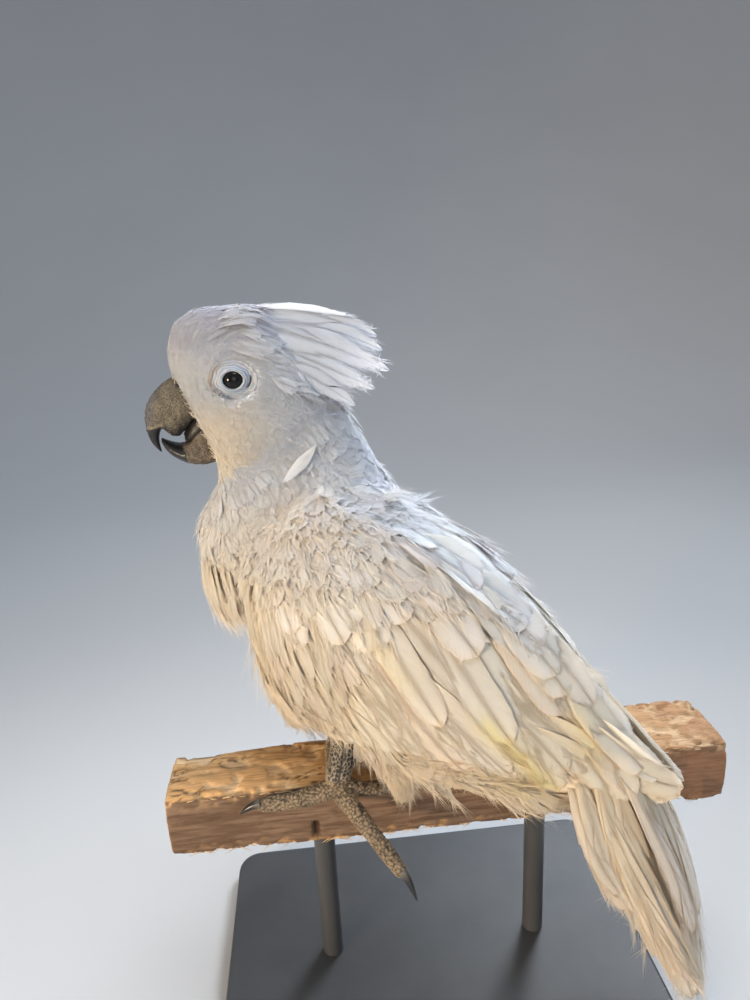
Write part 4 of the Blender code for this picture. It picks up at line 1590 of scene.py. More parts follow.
def flank_plumes(side):
    """Long soft plumes over the front of the wing and down the flank, and the fringe under the wing."""
    seed = 400 if side > 0 else 450
    own = np.random.default_rng(seed)
    roots, ways, lengths = [], [], []
    for _ in range(60):
        roots.append((own.uniform(-28, 36), own.uniform(214, 258)))
        ways.append((-0.30 - 0.15 * own.random(), -0.92))
        lengths.append(own.uniform(30, 40))
    for _ in range(56):
        f = own.uniform(-108, -40)
        roots.append((f, 182 + 0.06 * (f + 44) + own.uniform(-5, 4)))
        ways.append((-0.66, -0.72))
        lengths.append(own.uniform(18, 28))
    for _ in range(40):
        roots.append((own.uniform(-64, -22), own.uniform(168, 188)))
        ways.append((-0.3, -0.95))
        lengths.append(own.uniform(16, 24))
    at = on_side(roots, side)
    direction = BODY.way(np.array([(w[0], 0, w[1]) for w in ways]))
    parts = zone(
        at, PLUMES, np.array(lengths), 5.0, (1.0, 3.2, 1.1), cling=0.6, yaw=0.08, roll=0.12, bend=0.12,
        droop=0.15, seed=seed + 1, ways=direction, steps=6, clump=0.3,
    )
    # Loose hairs of the fringe.
    roots = [(f, 172 + 0.06 * (f + 44) + own.uniform(-3, 5)) for f in own.uniform(-116, -62, 46)]
    ways = BODY.way(np.tile((-0.5, 0, -0.85), (len(roots), 1)))
    return parts + zone(
        on_side(roots, side), WISPS, 22.0, 6.5, (0.8, 4.0, 1.1), cling=0.3, yaw=0.3, roll=0.5, bend=0.5,
        droop=0.3, seed=seed + 2, ways=ways, steps=6,
    )


# Tufts on the back: place (forward, left, up), reach, rise, number of feathers, half width.
BACK_TUFTS = [
    ((-32, 0, 293), 22, 14, 11, 3.2),
    ((-96, 0, 257), 24, 6, 7, 3.0),
    ((-133, 2, 218), 20, 3, 5, 2.2),
]


def back_tufts():
    """A few feathers that stand off the outline of the back."""
    own = np.random.default_rng(75)
    items = []
    for (f, l, u), reach, rise, count, half in BACK_TUFTS:
        for _ in range(count):
            root = np.array((f + own.uniform(-4, 4), l + own.uniform(-6, 6), u + own.uniform(-3, 0)))
            step = (
                -reach * own.uniform(0.7, 1.1), own.uniform(-5, 5), rise + own.uniform(-4, 3) - 0.35 * reach
            )
            tip = root + np.array(step)
            mid = (root + tip) / 2 + np.array((0, 0, 2.0))
            first = BODY.way((0.4, own.normal(0.3, 0.3), 0.8))
            last = BODY.way((0.5, own.normal(0.3, 0.4), 0.7))
            items.append((BODY.at([root, mid, tip]), first, last, half))
    return free_feathers(items, WISPS, seed=76)


def bib_plumes():
    """Plumes of the lower front of the ruff, which hang free over the breast."""
    own = np.random.default_rng(83)
    items = []

    def hang(start, way, half):
        reach = own.uniform(24, 35)
        middle = start + BODY.way((1.5, 0, -0.5 * reach)) + way * 1.5
        end = start + BODY.way((own.normal(-1, 2), own.normal(0, 2), -reach))
        items.append((np.array([start, middle, end]), way, way, half))

    for side in (1, -1):
        way = unit(BODY.way((0.35, side, 0.1)))
        for _ in range(46):
            start = on_side([(own.uniform(40, 70), own.uniform(248, 268))], side)[0]
            hang(start + way * own.uniform(0.2, 2.0), way, own.uniform(3.0, 4.2))
    backwards = BODY.way((-1, 0, 0))
    for _ in range(28):
        l, up = own.uniform(-22, 22), own.uniform(252, 268)
        hit = struck(BODY.at((140, l, up)), backwards)
        if hit is not None:
            hang(hit, unit(BODY.way((1.0, l / 24.0, 0.2))), own.uniform(3.0, 4.2))
    return free_feathers(items, PLUMES, seed=84)


WING_END = [
    ((-110, 206), (-139, 184), (-166, 163), 8.0),
    ((-117, 211), (-147, 185), (-174, 162), 8.5),
    ((-123, 213), (-153, 185), (-180, 162), 8.5),
    ((-129, 213), (-156, 186), (-184, 165), 8.5),
    ((-134, 215), (-159, 187), (-185, 169), 8.0),
]


def wing_end(side):
    """The tips of the longest primaries, which run on past the end of the wing."""
    outward = BODY.way((0, side, 0))
    items = []
    for k, (root, mid, tip, half) in enumerate(WING_END):
        start, middle = on_side([root, mid], side)
        end = BODY.at((tip[0], side * (9.0 - k), tip[1] - 3.0 * (side < 0)))
        line = np.array([start + outward * 0.5, middle + outward * (2.0 + 0.3 * k), end])
        items.append((line, BODY.way((-0.1, side, 0.2)), BODY.way((-0.2, 0.9 * side, 0.35)), half))
    return free_feathers(items, FLIGHTS, seed=86)


def saddle_feathers():
    """Long feathers from both wings that meet over the ridge of the back."""
    own = np.random.default_rng(79)

    def level(f, l):
        found = []
        for shift in (-3, 0, 3):
            hit = struck(BODY.at((f, l + shift, 430)), (0, 0, -1))
            if hit is not None:
                found.append(BODY.read(hit)[2])
        return max(found) if found else 178 + 1.3 * (f + 165)

    items = []
    for k in range(7):
        for l in (-6.5, 0, 6.5, 13):
            f = -56 - 14 * k + own.uniform(-5, 5)
            near = 1.0 if l >= 0 else 0.45
            if k == 6 and l < 6:
                continue
            place = l + own.uniform(-1.5, 1.5)
            reach = own.uniform(44, 54)
            line = []
            for part, lift in ((0, 1.5), (0.5, 4.0), (1, 4.4)):
                at = f - reach * 0.62 * part
                high = lift * near
                line.append((at - high * 0.79, place * (1 - 0.15 * part), level(at, place) + high * 0.61))
            way = BODY.way((-0.76, 0.042 * l, 0.64))
            items.append((BODY.at(line), way, way, 9.0 if l >= 0 else 6.5))
    return free_feathers(items, FLIGHTS, seed=80)


piece("coat_wing_left", wing_coat(1), soft=0.45)
piece("coat_wing_right", wing_coat(-1), soft=0.45)
piece("coat_flanks", flank_plumes(1) + flank_plumes(-1), soft=0.45)


# ---------------------------------------------------------------- tail and crest


def curve_through(points, count):
    """Even samples of a smooth curve through three or more points."""
    points = np.array(points, float)
    t = np.linspace(0, 1, len(points))
    fine = np.linspace(0, 1, count)
    degree = min(len(points) - 1, 3)
    return np.stack([np.polyval(np.polyfit(t, points[:, k], degree), fine) for k in range(3)], 1)


def free_feathers(items, templates, seed, tint=None):
    """Feathers along given lines: items of (places, normal at the root, normal at the tip, half width)."""
    own = np.random.default_rng(seed)
    parts = []
    for points, normal0, normal1, half in items:
        line = curve_through(points, 11)[None]
        t = np.linspace(0, 1, 11)[:, None]
        normals = unit(np.array(normal0) * (1 - t) + np.array(normal1) * t)[None]
        tips = tint_at(line[:, -1], own) if tint is None else np.array([tint])
        # The roots take painted shade.
        tints = tips * FREE_ROOT_SHADE_TINT
        template = templates[own.integers(0, len(templates))]
        roll = np.array([own.normal(0, 0.06)])
        uv = wrap_at(line[:, 0])
        parts.append(lay(template, line, normals, np.array([half]), roll, tints, tips, uv, own))
    return parts


# Middle line of the tail: part of the way, (forward, up), half depth, half width.
TAIL_LINE = [
    (0.0, (-137, 186), 8, 12), (0.33, (-164, 136), 12, 28), (0.67, (-186, 92), 9, 27),
    (1.0, (-200, 50), 4, 14),
]


def tail_place(t, turn, share):
    """A place round the tail's middle line; turn 0 is the back of the tail."""
    knots = [k[0] for k in TAIL_LINE]
    f, u = (np.interp(t, knots, [k[1][i] for k in TAIL_LINE]) for i in range(2))
    deep, wide = (np.interp(t, knots, [k[i] for k in TAIL_LINE]) * share for i in (2, 3))
    return (f - 0.89 * deep * math.cos(turn), wide * math.sin(turn), u + 0.45 * deep * math.cos(turn))


def tail_feathers():
    """Two layers round the tail, feathers from its root at both sides, and the upper tail coverts."""
    items = []
    own = np.random.default_rng(61)
    for layer, (count, share, half) in enumerate(((18, 0.78, 7.4), (26, 1.0, 6.6))):
        for k in range(count):
            turn = 2 * math.pi * (k + 0.5 * layer + own.uniform(-0.2, 0.2)) / count
            end = 0.98 - 0.26 * (0.5 - 0.5 * math.cos(turn)) + own.normal(0, 0.025)
            places = [
                tail_place(end * part, turn + 0.1 * own.normal(), share)
                for part in (0.0, 0.33, 0.67, 1.0)
            ]
            way = BODY.way((-0.89 * math.cos(turn), 0.7 * math.sin(turn), 0.45 * math.cos(turn)))
            items.append((BODY.at(places), way, way, half))
    for side in (1, -1):
        for k in range(14):
            f = -160 + 26 * (k + own.random()) / 14
            l = side * (12 + 12 * (f + 160) / 26 + own.uniform(-3, 3))
            root = (f, l * 0.8, own.uniform(160, 184))
            mid = (f - 15, l * 1.15, root[2] - 34)
            tip = (f - 28 + own.normal(0, 2), l * 1.15, root[2] - 66 + own.normal(0, 8))
            way = BODY.way((-0.5, 0.85 * side, 0.2))
            items.append((BODY.at([root, mid, tip]), way, way, 5.6))
    # Upper tail coverts, down the back of the tail from under the wing tips.
    for k in range(9):
        l = (k - 4) * 4.4
        out = 1 - abs(k - 4) / 5
        root = (-148, l * 0.6, 192)
        mid = (-177 - 3 * out, l, 150 + own.normal(0, 2))
        tip = (-196 - 3 * out, l * 0.9, 94 + own.normal(0, 7))
        first, last = BODY.way((-0.8, 0.12 * (k - 4), 0.6)), BODY.way((-0.9, 0.12 * (k - 4), 0.4))
        items.append((BODY.at([root, mid, tip]), first, last, 6.5))
    return free_feathers(items, TAILS, seed=62)


CREST_FEATHERS = [
    ((12, 1, 29), (-34, 1.5, 28), (-75, 1.0, 15.5), 7.6),
    ((9, 3, 28.5), (-34, 4.0, 25), (-77, 3.0, 8.5), 8.2),
    ((4, 6, 27), (-34, 7.5, 18.5), (-79.5, 6.0, -2.0), 9.0),
    ((-4, 9, 23), (-34, 11, 9), (-71, 9.0, -10.5), 8.6),
    ((-14, 12, 13), (-36, 14, 0), (-60, 12, -18), 7.2),
]
# Shorter feathers between the two fans, which close the crest from behind: heights of the roots, share out to
# the side, forward at the root, drop at the middle, forward and height at the tip, its share out and its
# drop, the normal, and the share of the half width.
CREST_FILL = [
    ((20, 13, 6, -1, -8, -14), 0.45, -16, 4, (-52, 14), 1.1, 11, (-0.35, 0.25, 0.9), 0.68),
    ((12, 4, -4, -11), 0.98, -14, 5, (-53, 11), 1.0, 12, (-0.45, 0.5, 0.75), 0.62),
]


def crest_feathers():
    """The two fans of the laid-back crest, and the fill between them."""
    items = []
    for side in (1, -1):
        for root, mid, tip, half in CREST_FEATHERS:
            points = [HEAD.at((f, l * side, u)) for f, l, u in (root, mid, tip)]
            items.append((points, HEAD.way((0.1, 0.7 * side, 0.7)), HEAD.way((0.2, 0.95 * side, 0.3)), half))
    for ups, out, root_f, mid_drop, (tip_f, tip_u), tip_out, tip_drop, (nf, nl, nu), share in CREST_FILL:
        for up in ups:
            wide = 4.5 + 6.5 * (20 - up) / 34.0
            for side in (1, -1):
                l = side * wide * out
                tip = (tip_f - 0.34 * (up + tip_u), l * tip_out, up - tip_drop)
                points = [HEAD.at((root_f, l, up)), HEAD.at((-36, l, up - mid_drop)), HEAD.at(tip)]
                way = HEAD.way((nf, nl * side, nu))
                items.append((points, way, way, wide * share))
    # The crest is painted bluish: painted cool shade.
    return free_feathers(items, CRESTS, seed=66, tint=CREST_SHADE_TINT)


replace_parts(piece("feathers_tail", tail_feathers(), soft=0.3), "tail")
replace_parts(piece("feathers_crest", crest_feathers(), soft=0.4), "crest")
piece("coat_head", head_coat() + cap_coat() + bristle_coat(), soft=0.68)
piece("coat_neck", neck_coat() + stray_feather(), soft=0.65)
piece("coat_tufts", back_tufts() + bib_plumes(), soft=0.3)
piece("coat_saddle", wing_end(1) + wing_end(-1) + saddle_feathers(), soft=0.3)


# ---------------------------------------------------------------- skin piece

# The skin carries the coat's colours, with their painted light and shade.
skin_tint = tint_at(skin_points, np.random.default_rng(5)) * np.array([1.0, 0.97, 0.93])
skin = make("skin", skin_points, skin_faces, colours=skin_tint, material=SKIN)
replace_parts(skin, *FLESH)


# ---------------------------------------------------------------- bill

# Stations of the bill in the head's frame: (forward, up) of the top and of the low line, half width.
UPPER_BILL = [
    ((22, 2), (9, -14), 8),
    ((30.8, 1), (18.7, -19.4), 11.5),
    ((36.4, -2.4), (24.6, -24.4), 11.5),
    ((41, -6.8), (29.5, -28.4), 10.2),
    ((44.2, -11.9), (33.2, -28), 8.6),
    ((45.6, -17.3), (34.6, -24.4), 7),
    ((45.9, -23), (38, -24.6), 5.4),
    ((44.6, -29.8), (39.7, -28.4), 3.6),
    ((42.5, -33.7), (39.9, -32), 2.2),
    ((40, -36.8), (39.4, -35.8), 0.6),
]
LOWER_BILL = [
    ((9, -22), (8, -38), 8),
    ((16.6, -21.6), (12.4, -43.4), 11.5),
    ((21.6, -26), (18.4, -44.6), 12.4),
    ((25, -31), (24.4, -43.8), 12),
    ((29.3, -33.2), (29, -41.8), 10.2),
    ((33.6, -32.2), (33.8, -38.8), 7.4),
    ((37, -30.6), (37, -35.4), 4.4),
    ((38.8, -29.4), (38.9, -31.6), 1.6),
]
MOUTH = [
    ((9, -8), (7, -28), 6.5),
    ((14.5, -11), (12.5, -30), 9.6),
    ((19, -15), (16.5, -31), 9.8),
    ((22.5, -19.5), (20, -32), 9.0),
    ((25.5, -24.2), (23.5, -33.5), 7.0),
    ((27.5, -27.6), (26.5, -34), 4.2),
]


def smooth_rows(rows, per_span):
    """Rows of numbers on a smooth curve through the given ones."""
    rows = np.array(rows, float)
    padded = np.vstack((2 * rows[0] - rows[1], rows, 2 * rows[-1] - rows[-2]))
    out = []
    for a, b, c, d in zip(padded, padded[1:], padded[2:], padded[3:]):
        for step in range(per_span):
            t = step / per_span
            bow = (2 * a - 5 * b + 4 * c - d) * t**2
            out.append(0.5 * (2 * b + (c - a) * t + bow + (3 * b - a - 3 * c + d) * t**3))
    out.append(rows[-1])
    return np.array(out)


def full_turn(around):
    """Even angles all the way round."""
    return np.linspace(0, 2 * math.pi, around, endpoint=False)


def band(a, b, around):
    """Triangles between two rings of points, which start at a and at b."""
    k = np.arange(around)
    n = (k + 1) % around
    return [np.stack((a + k, a + n, b + n), 1), np.stack((a + k, b + n, b + k), 1)]


def ring_faces(rings, around):
    """Triangles of a closed tube of rings, with a fan across each end (its middle points come last)."""
    faces = []
    for r in range(rings - 1):
        faces += band(r * around, (r + 1) * around, around)
    k = np.arange(around)
    n = (k + 1) % around
    first = rings * around
    end = first - around
    faces.append(np.stack((np.full(around, first), n, k), 1))
    faces.append(np.stack((np.full(around, first + 1), end + k, end + n), 1))
    return np.vstack(faces)


def bill_loft(stations, per_span, around):
    """A bill half through stations (top, low, half width). Also how high each point is, from -1 to 1."""
    turn = full_turn(around)
    c, s = np.cos(turn), np.sin(turn)
    side = np.sign(s) * np.abs(s) ** 0.9
    share = 0.5 + 0.5 * c
    points = []
    rows = smooth_rows([(*top, *low, half) for top, low, half in stations], per_span)
    for tf, tu, lf, lu, half in rows:
        points.append(np.stack((lf + (tf - lf) * share, half * side, lu + (tu - lu) * share), 1))
    points = np.vstack(points + [points[0].mean(0)[None], points[-1].mean(0)[None]])
    return points, ring_faces(len(rows), around), np.append(np.tile(c, len(rows)), (0, 0))


def noise_at(points, scale, seed=0.0, octaves=1, stretch=(1, 1, 1)):
    """Soft noise of a size in millimetres, stretched along each axis."""
    out = np.zeros(len(points))
    q = np.asarray(points) * np.array(stretch)
    for o in range(octaves):
        k = 2.0**o / scale
        out += np.array(
            [noise.noise(Vector((x * k + seed, y * k - seed, z * k + 3 * o))) for x, y, z in q]
        ) / 2**o
    return out


def layered(colour, *layers):
    """A colour with others laid over it, each with its share at every point."""
    for over, share in layers:
        colour = np.asarray(colour) * (1 - share[:, None]) + np.asarray(over) * share[:, None]
    return colour


def dressed(name, shape, material, slot, stands_for=(), **painted):
    """A piece with its painted colours, in place of the CAD's nodes that it stands for."""
    out = make(name, *shape, material=material)
    for layer, colours in painted.items():
        paint(out, layer, colours)
    if stands_for:
        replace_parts(out, *stands_for)


def tinted(m, *shades):
    """The painted colour, times each shade."""
    out = m.attribute("Tint").outputs["Color"]
    for value, stops in shades:
        out = m.mix("MULTIPLY", 1.0, out, m.ramp(value, stops))
    return out


def first_channel(m, name):
    """One painted number."""
    parts = m.node("ShaderNodeSeparateColor")
    m.link(m.attribute(name).outputs["Color"], parts.inputs[0])
    return parts.outputs[0]


def horn_material():
    m = Nodes("bill_horn", roughness=0.55, Specular_IOR_Level=0.4)
    gloss = first_channel(m, "Gloss")
    place = m.place()
    worms = m.maths(
        "ABSOLUTE",
        m.maths("SUBTRACT", m.noise(place, 720.0, detail=3.0, roughness=0.6, distortion=1.3), 0.5),
    )
    lines = ((0.0, (2.6, 2.5, 2.25)), (0.02, (1.5, 1.45, 1.35)), (0.06, (0.72, 0.72, 0.73)))
    powder = ((0.35, (0.72, 0.72, 0.73)), (0.55, (1.0, 1.0, 1.0)), (0.7, (1.3, 1.28, 1.22)))
    rich = tinted(m, (worms, lines), (m.noise(place, 1500.0, detail=3.0, roughness=0.7), powder))
    m.colour(m.mix("MIX", gloss, rich, tinted(m)))
    m.rough(m.maths("SUBTRACT", 0.68, m.maths("MULTIPLY", gloss, 0.42)))
    m.bump(m.noise(place, 1500.0, detail=4.0, roughness=0.6), strength=0.35, distance=0.0003)
    return m.material


HORN = horn_material()
HORN_TAN = np.array([0.094, 0.082, 0.064])
HORN_PALE = np.array([0.160, 0.142, 0.110])
HORN_BROWN = np.array([0.150, 0.118, 0.095])
HORN_SLATE = np.array([0.092, 0.100, 0.122])
HORN_DARK = np.array([0.022, 0.022, 0.024])
BILL_MESH = (16, 88)  # rings for each station, points around


def cheek_spot(q, ahead, up, length, height):
    """A soft spot on both sides of the bill."""
    away = ((q[:, 0] - ahead) / length) ** 2 + ((q[:, 2] - up) / height) ** 2
    return np.exp(-away) * (np.abs(q[:, 1]) > 4)


def upper_bill():
    """The upper half: flaked and ridged, with nostrils, a worn dark tip and a jagged edge."""
    q, faces, high = bill_loft(UPPER_BILL, *BILL_MESH)
    out = vertex_normals(q, faces)
    # The tip is worn smooth, with a pale line where it begins.
    level = q[:, 2] + 0.25 * (q[:, 0] - 42)
    tip = smoothstep(-21.5, -24.5, level) * (q[:, 0] > 35)
    line = bell(level + 22.4, 0.55) * (q[:, 0] > 37)
    rough = noise_at(q, 2.2, seed=3, octaves=3)
    flakes = np.maximum(noise_at(q, 3.4, seed=11, octaves=2, stretch=(0.6, 1, 1.6)), 0)
    push = (0.28 * rough + 0.45 * flakes) * (1 - tip) - 0.35 * tip * (tip < 0.9) + 0.22 * line
    keel = bell(q[:, 1], 1.6) * (out[:, 2] + out[:, 0] > 0.3) * 0.35
    nostril = cheek_spot(q, 27.4, -2.2, 1.3, 1.0) * 1.1
    q = q + out * (push + keel - nostril)[:, None]
    front = smoothstep(36, 44, q[:, 0] + 0.25 * q[:, 2] + 3)
    jag = smoothstep(
        -0.66, -0.86, high + 0.16 * noise_at(q, 1.6, seed=41, octaves=2)
    ) * (q[:, 0] < 41) * (1 - tip)
    # Painted shade: the nostrils are painted dark.
    colour = layered(
        HORN_TAN,
        (HORN_PALE, smoothstep(-0.25, 0.45, noise_at(q, 7.0, seed=5, octaves=2)) * 0.6),
        (HORN_SLATE, front * 0.75),
        (HORN_TAN * 0.45, smoothstep(-20, -26, q[:, 2]) * (q[:, 0] < 36) * 0.8),
        (HORN_DARK, tip),
        (HORN_PALE * 1.25, line),
        (HORN_DARK * 1.3, jag * 0.92),
        (HORN_DARK, np.clip(nostril, 0, 1)),
    )
    gloss = tip * 0.9 + front * 0.12
    dressed("bill_upper_horn", (HEAD.at(q), faces), HORN, "bill", ["bill_upper"], Tint=colour, Gloss=gloss)


def lower_bill():
    """The lower half, with a smooth dark edge in front and a dent in each side."""
    q, faces, high = bill_loft(LOWER_BILL, *BILL_MESH)
    out = vertex_normals(q, faces)
    edge = q[:, 0] - 27.5 + 1.4 * noise_at(q, 2.4, seed=9, octaves=2) - 0.25 * (q[:, 2] + 36)
    tip = smoothstep(-0.6, 0.8, edge)
    line = bell(edge, 0.6)
    rough = 0.3 * noise_at(q, 2.0, seed=21, octaves=3) + 0.4 * np.maximum(
        noise_at(q, 3.2, seed=31, octaves=2), 0
    )
    q = q + out * (rough * (1 - tip) + 0.25 * line - 0.25 * tip)[:, None]
    blotch = smoothstep(-0.2, 0.5, noise_at(q, 6.0, seed=15, octaves=2))
    dent = cheek_spot(q, 17.5, -27.5, 2.0, 2.4)
    q = q - out * (0.9 * dent)[:, None]
    jag = smoothstep(0.80, 0.93, high + 0.12 * noise_at(q, 1.4, seed=51, octaves=2)) * (1 - tip)
    # Painted shade: the dents are painted dark.
    colour = layered(
        HORN_TAN * 0.9,
        (HORN_BROWN, blotch),
        (HORN_DARK * 1.6, dent * 0.7),
        (HORN_DARK * 1.2, jag * 0.85),
        (HORN_PALE, bell(high - 0.66, 0.07) * 0.5 * (1 - tip)),
        (HORN_DARK, tip),
        (HORN_PALE * 1.1, line * 0.8),
    )
    dressed(
        "bill_lower_horn", (HEAD.at(q), faces), HORN, "bill", ["bill_lower"], Tint=colour, Gloss=tip * 0.8
    )


def mouth():
    """The inside of the mouth: dark skin, painted near black with painted shade."""
    q, faces, _ = bill_loft(MOUTH, 8, 36)
    q = q + vertex_normals(q, faces) * (0.25 * noise_at(q, 2.0, seed=2, octaves=2))[:, None]
    m = Nodes("mouth_painted_shade", roughness=0.45)
    patches = m.noise(m.place(), 500.0, detail=4.0)
    m.colour(m.ramp(patches, ((0.3, (0.004, 0.004, 0.004)), (0.7, (0.012, 0.009, 0.008)))))
    m.bump(m.noise(m.place(), 900.0, detail=3.0), strength=0.4, distance=0.0003)
    dressed("mouth", (HEAD.at(q), faces), m.material, "bill")


upper_bill()
lower_bill()
mouth()


# ---------------------------------------------------------------- eyes and lids

OPENING = 4.35  # radius of the eye's opening
LIDS_REACH = 9.9  # radius where the lids' bare skin ends
LID_RINGS, LID_AROUND = 46, 132
LID_BLUE = np.array([0.50, 0.57, 0.66])
LID_GREY = np.array([0.42, 0.42, 0.45])
LID_TAN = np.array([0.30, 0.24, 0.19])
CREASE_SHADE_TINT = np.array([0.07, 0.07, 0.085])
LID_EDGE_TINT = np.array([0.05, 0.05, 0.055])
RAY_START, RAY_REACH = 60, 90.0
NO_SKIN = 14.0  # how far out the lids go where a ray meets no skin


def eye_material():
    m = Nodes("eye_wet", roughness=0.05, Specular_IOR_Level=0.3, Coat_Weight=0.15, Coat_Roughness=0.02)
    away = first_channel(m, "Iris")
    streaks = m.maths("SUBTRACT", m.noise(m.place(), 1400.0, detail=3.0), 0.5)
    value = m.maths("ADD", away, m.maths("MULTIPLY", streaks, 0.15))
    pupil, edge = (0.5, (0.002, 0.002, 0.002)), (0.62, (0.005, 0.004, 0.004))
    m.colour(m.ramp(value, (pupil, edge, (0.9, (0.009, 0.007, 0.006)), (1.0, (0.014, 0.012, 0.011)))))
    return m.material


def lid_material():
    m = Nodes(
        "lid_skin", roughness=0.5, Subsurface_Weight=0.15, Subsurface_Scale=0.001, Specular_IOR_Level=0.45
    )
    grain = m.noise(m.place(), 1300.0, detail=4.0)
    m.colour(tinted(m, (grain, ((0.3, (0.86, 0.87, 0.9)), (0.7, (1.0, 1.0, 1.0))))))
    m.bump(m.noise(m.place(), 2600.0, detail=3.0), strength=0.4, distance=0.0002)
    return m.material


def eyeball(name, side, centre, radius, material):
    """A ball with a slight bulge in front."""
    ball = bmesh.new()
    bmesh.ops.create_uvsphere(ball, u_segments=64, v_segments=40, radius=1.0)
    p = np.array([v.co for v in ball.verts])
    faces = []
    for face in ball.faces:
        ids = [v.index for v in face.verts]
        faces.extend((ids[0], ids[k], ids[k + 1]) for k in range(1, len(ids) - 1))
    ball.free()
    faces = np.array(faces)
    facing = p[:, 2]
    cornea = 0.35 * smoothstep(0.72, 1.0, facing)
    local = np.stack((p[:, 0] * radius, (facing * radius + cornea) * side, p[:, 1] * radius), 1)
    points = centre + HEAD.way(local)
    if ((points - centre) * vertex_normals(points, faces)).sum() < 0:
        faces = faces[:, ::-1]
    iris = np.clip(np.hypot(p[:, 0], p[:, 1]) / 0.72, 0, 1) * (facing > 0) + (facing <= 0)
    dressed(name + "_ball", (points, faces), material, "eye", [name], Iris=iris)


def lids(name, side, centre, radius, material):
    """Rings from the eye's opening out to the coat, folded in fine wrinkles."""
    turn = full_turn(LID_AROUND)
    inward = Vector(HEAD.way((0, -side, 0)))
    out_to = abs(HEAD.read(centre)[1])
    rim = out_to + math.sqrt(radius**2 - OPENING**2)
    rows, phases, creases = [], [], []
    for t in np.linspace(0, 1, LID_RINGS):
        r = OPENING + (LIDS_REACH - OPENING) * t
        # The opening is a little longer than high, with corners front and back.
        f = r * (1.04 + 0.16 * t + 0.05 * (1 - t) * np.cos(2 * turn)) * np.cos(turn)
        u = r * (0.95 - 0.02 * t) * np.sin(turn)
        hits = [
            skin_tree.ray_cast(Vector(HEAD.at((x, RAY_START * side, y))), inward, RAY_REACH)[3]
            for x, y in zip(f, u)
        ]
        level = np.array([NO_SKIN if hit is None else RAY_START - hit for hit in hits])
        mound = rim + 0.25 + 0.75 * bell(t - 0.16, 0.14) - 0.2 * t
        share = smoothstep(0.2, 0.95, t)
        base = mound * (1 - share) + (level + 0.5) * share
        base = np.maximum(base, (level + 0.15) * (t > 0.3))
        wob = np.array(
            [noise.noise(Vector((math.cos(a) * 1.7, math.sin(a) * 1.7, t * 2.0 + side))) for a in turn]
        )
        phase = (t * 4.6 + 0.9 * wob) * 2 * math.pi
        crease = bell(t - 0.6 - 0.1 * np.sin(turn), 0.07) * smoothstep(0.86, 0.97, -np.cos(turn - 0.25))
        fold = 0.17 * np.sin(phase) * smoothstep(0.04, 0.2, t) * (1 - 0.4 * t) - 0.7 * crease
        fold += 0.09 * np.sin(turn * 38 + 6 * wob) * math.sin(math.pi * min(t * 1.4, 1))
        if t == 0:
            base, fold = out_to + np.sqrt(np.maximum(radius**2 - f**2 - u**2, 0.0)) - 0.9, 0
        rows.append(np.stack((f, (base + fold) * side, u), 1))
        phases.append(phase)
        creases.append(crease)
    # The outer edge turns down into the skin.
    rows.append(rows[-1] * (1.03, 1, 1.03) - (0, 1.6 * side, 0))
    phase, crease = np.concatenate(phases + phases[-1:]), np.concatenate(creases + creases[-1:])
    front = np.vstack(rows)
    count, last = len(front), len(front) - LID_AROUND
    faces = band(count, 0, LID_AROUND) + band(last, count + last, LID_AROUND)
    for a in range(0, last, LID_AROUND):
        faces += band(a, a + LID_AROUND, LID_AROUND)
        faces += [f[:, ::-1] for f in band(count + a, count + a + LID_AROUND, LID_AROUND)]
    faces = np.vstack(faces)
    points = HEAD.at(np.vstack((front, front - (0, 1.1 * side, 0))))
    middle = slice(LID_AROUND * 4, LID_AROUND * 12)
    if (vertex_normals(points, faces)[middle] * HEAD.way((0, side, 0))).sum() < 0:
        faces = faces[:, ::-1]
    t = np.repeat(np.arange(len(rows)) / (LID_RINGS - 1), LID_AROUND)
    ahead = smoothstep(0.2, 0.8, np.cos(np.tile(turn, len(rows))))
    # Painted shade: the troughs of the wrinkles and the rear crease are painted darker.
    colour = layered(
        LID_BLUE,
        (LID_BLUE * 0.6, 0.5 - 0.5 * np.sin(phase)),
        (LID_GREY, np.clip(0.6 * smoothstep(0.5, 1.0, t) + 0.5 * ahead * smoothstep(0.1, 0.5, t), 0, 1)),
        (LID_TAN, 0.75 * ahead * smoothstep(0.62, 0.85, t)),
        (CREASE_SHADE_TINT, np.clip(crease * 1.2, 0, 1)),
        (LID_EDGE_TINT, smoothstep(0.06, 0.0, t)),
    )
    dressed(name, (points, faces), material, "plumage", Tint=np.vstack((colour, colour)))


def make_eyes():
    wet, bare_skin = eye_material(), lid_material()
    for which, side in (("left", 1), ("right", -1)):
        low, high = (np.array(corner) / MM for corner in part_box("eye_" + which))
        centre, radius = (low + high) / 2, (high - low)[2] / 2
        eyeball("eye_" + which, side, centre, radius, wet)
        lids("lids_" + which, side, centre, radius, bare_skin)


make_eyes()


# ---------------------------------------------------------------- feet and claws

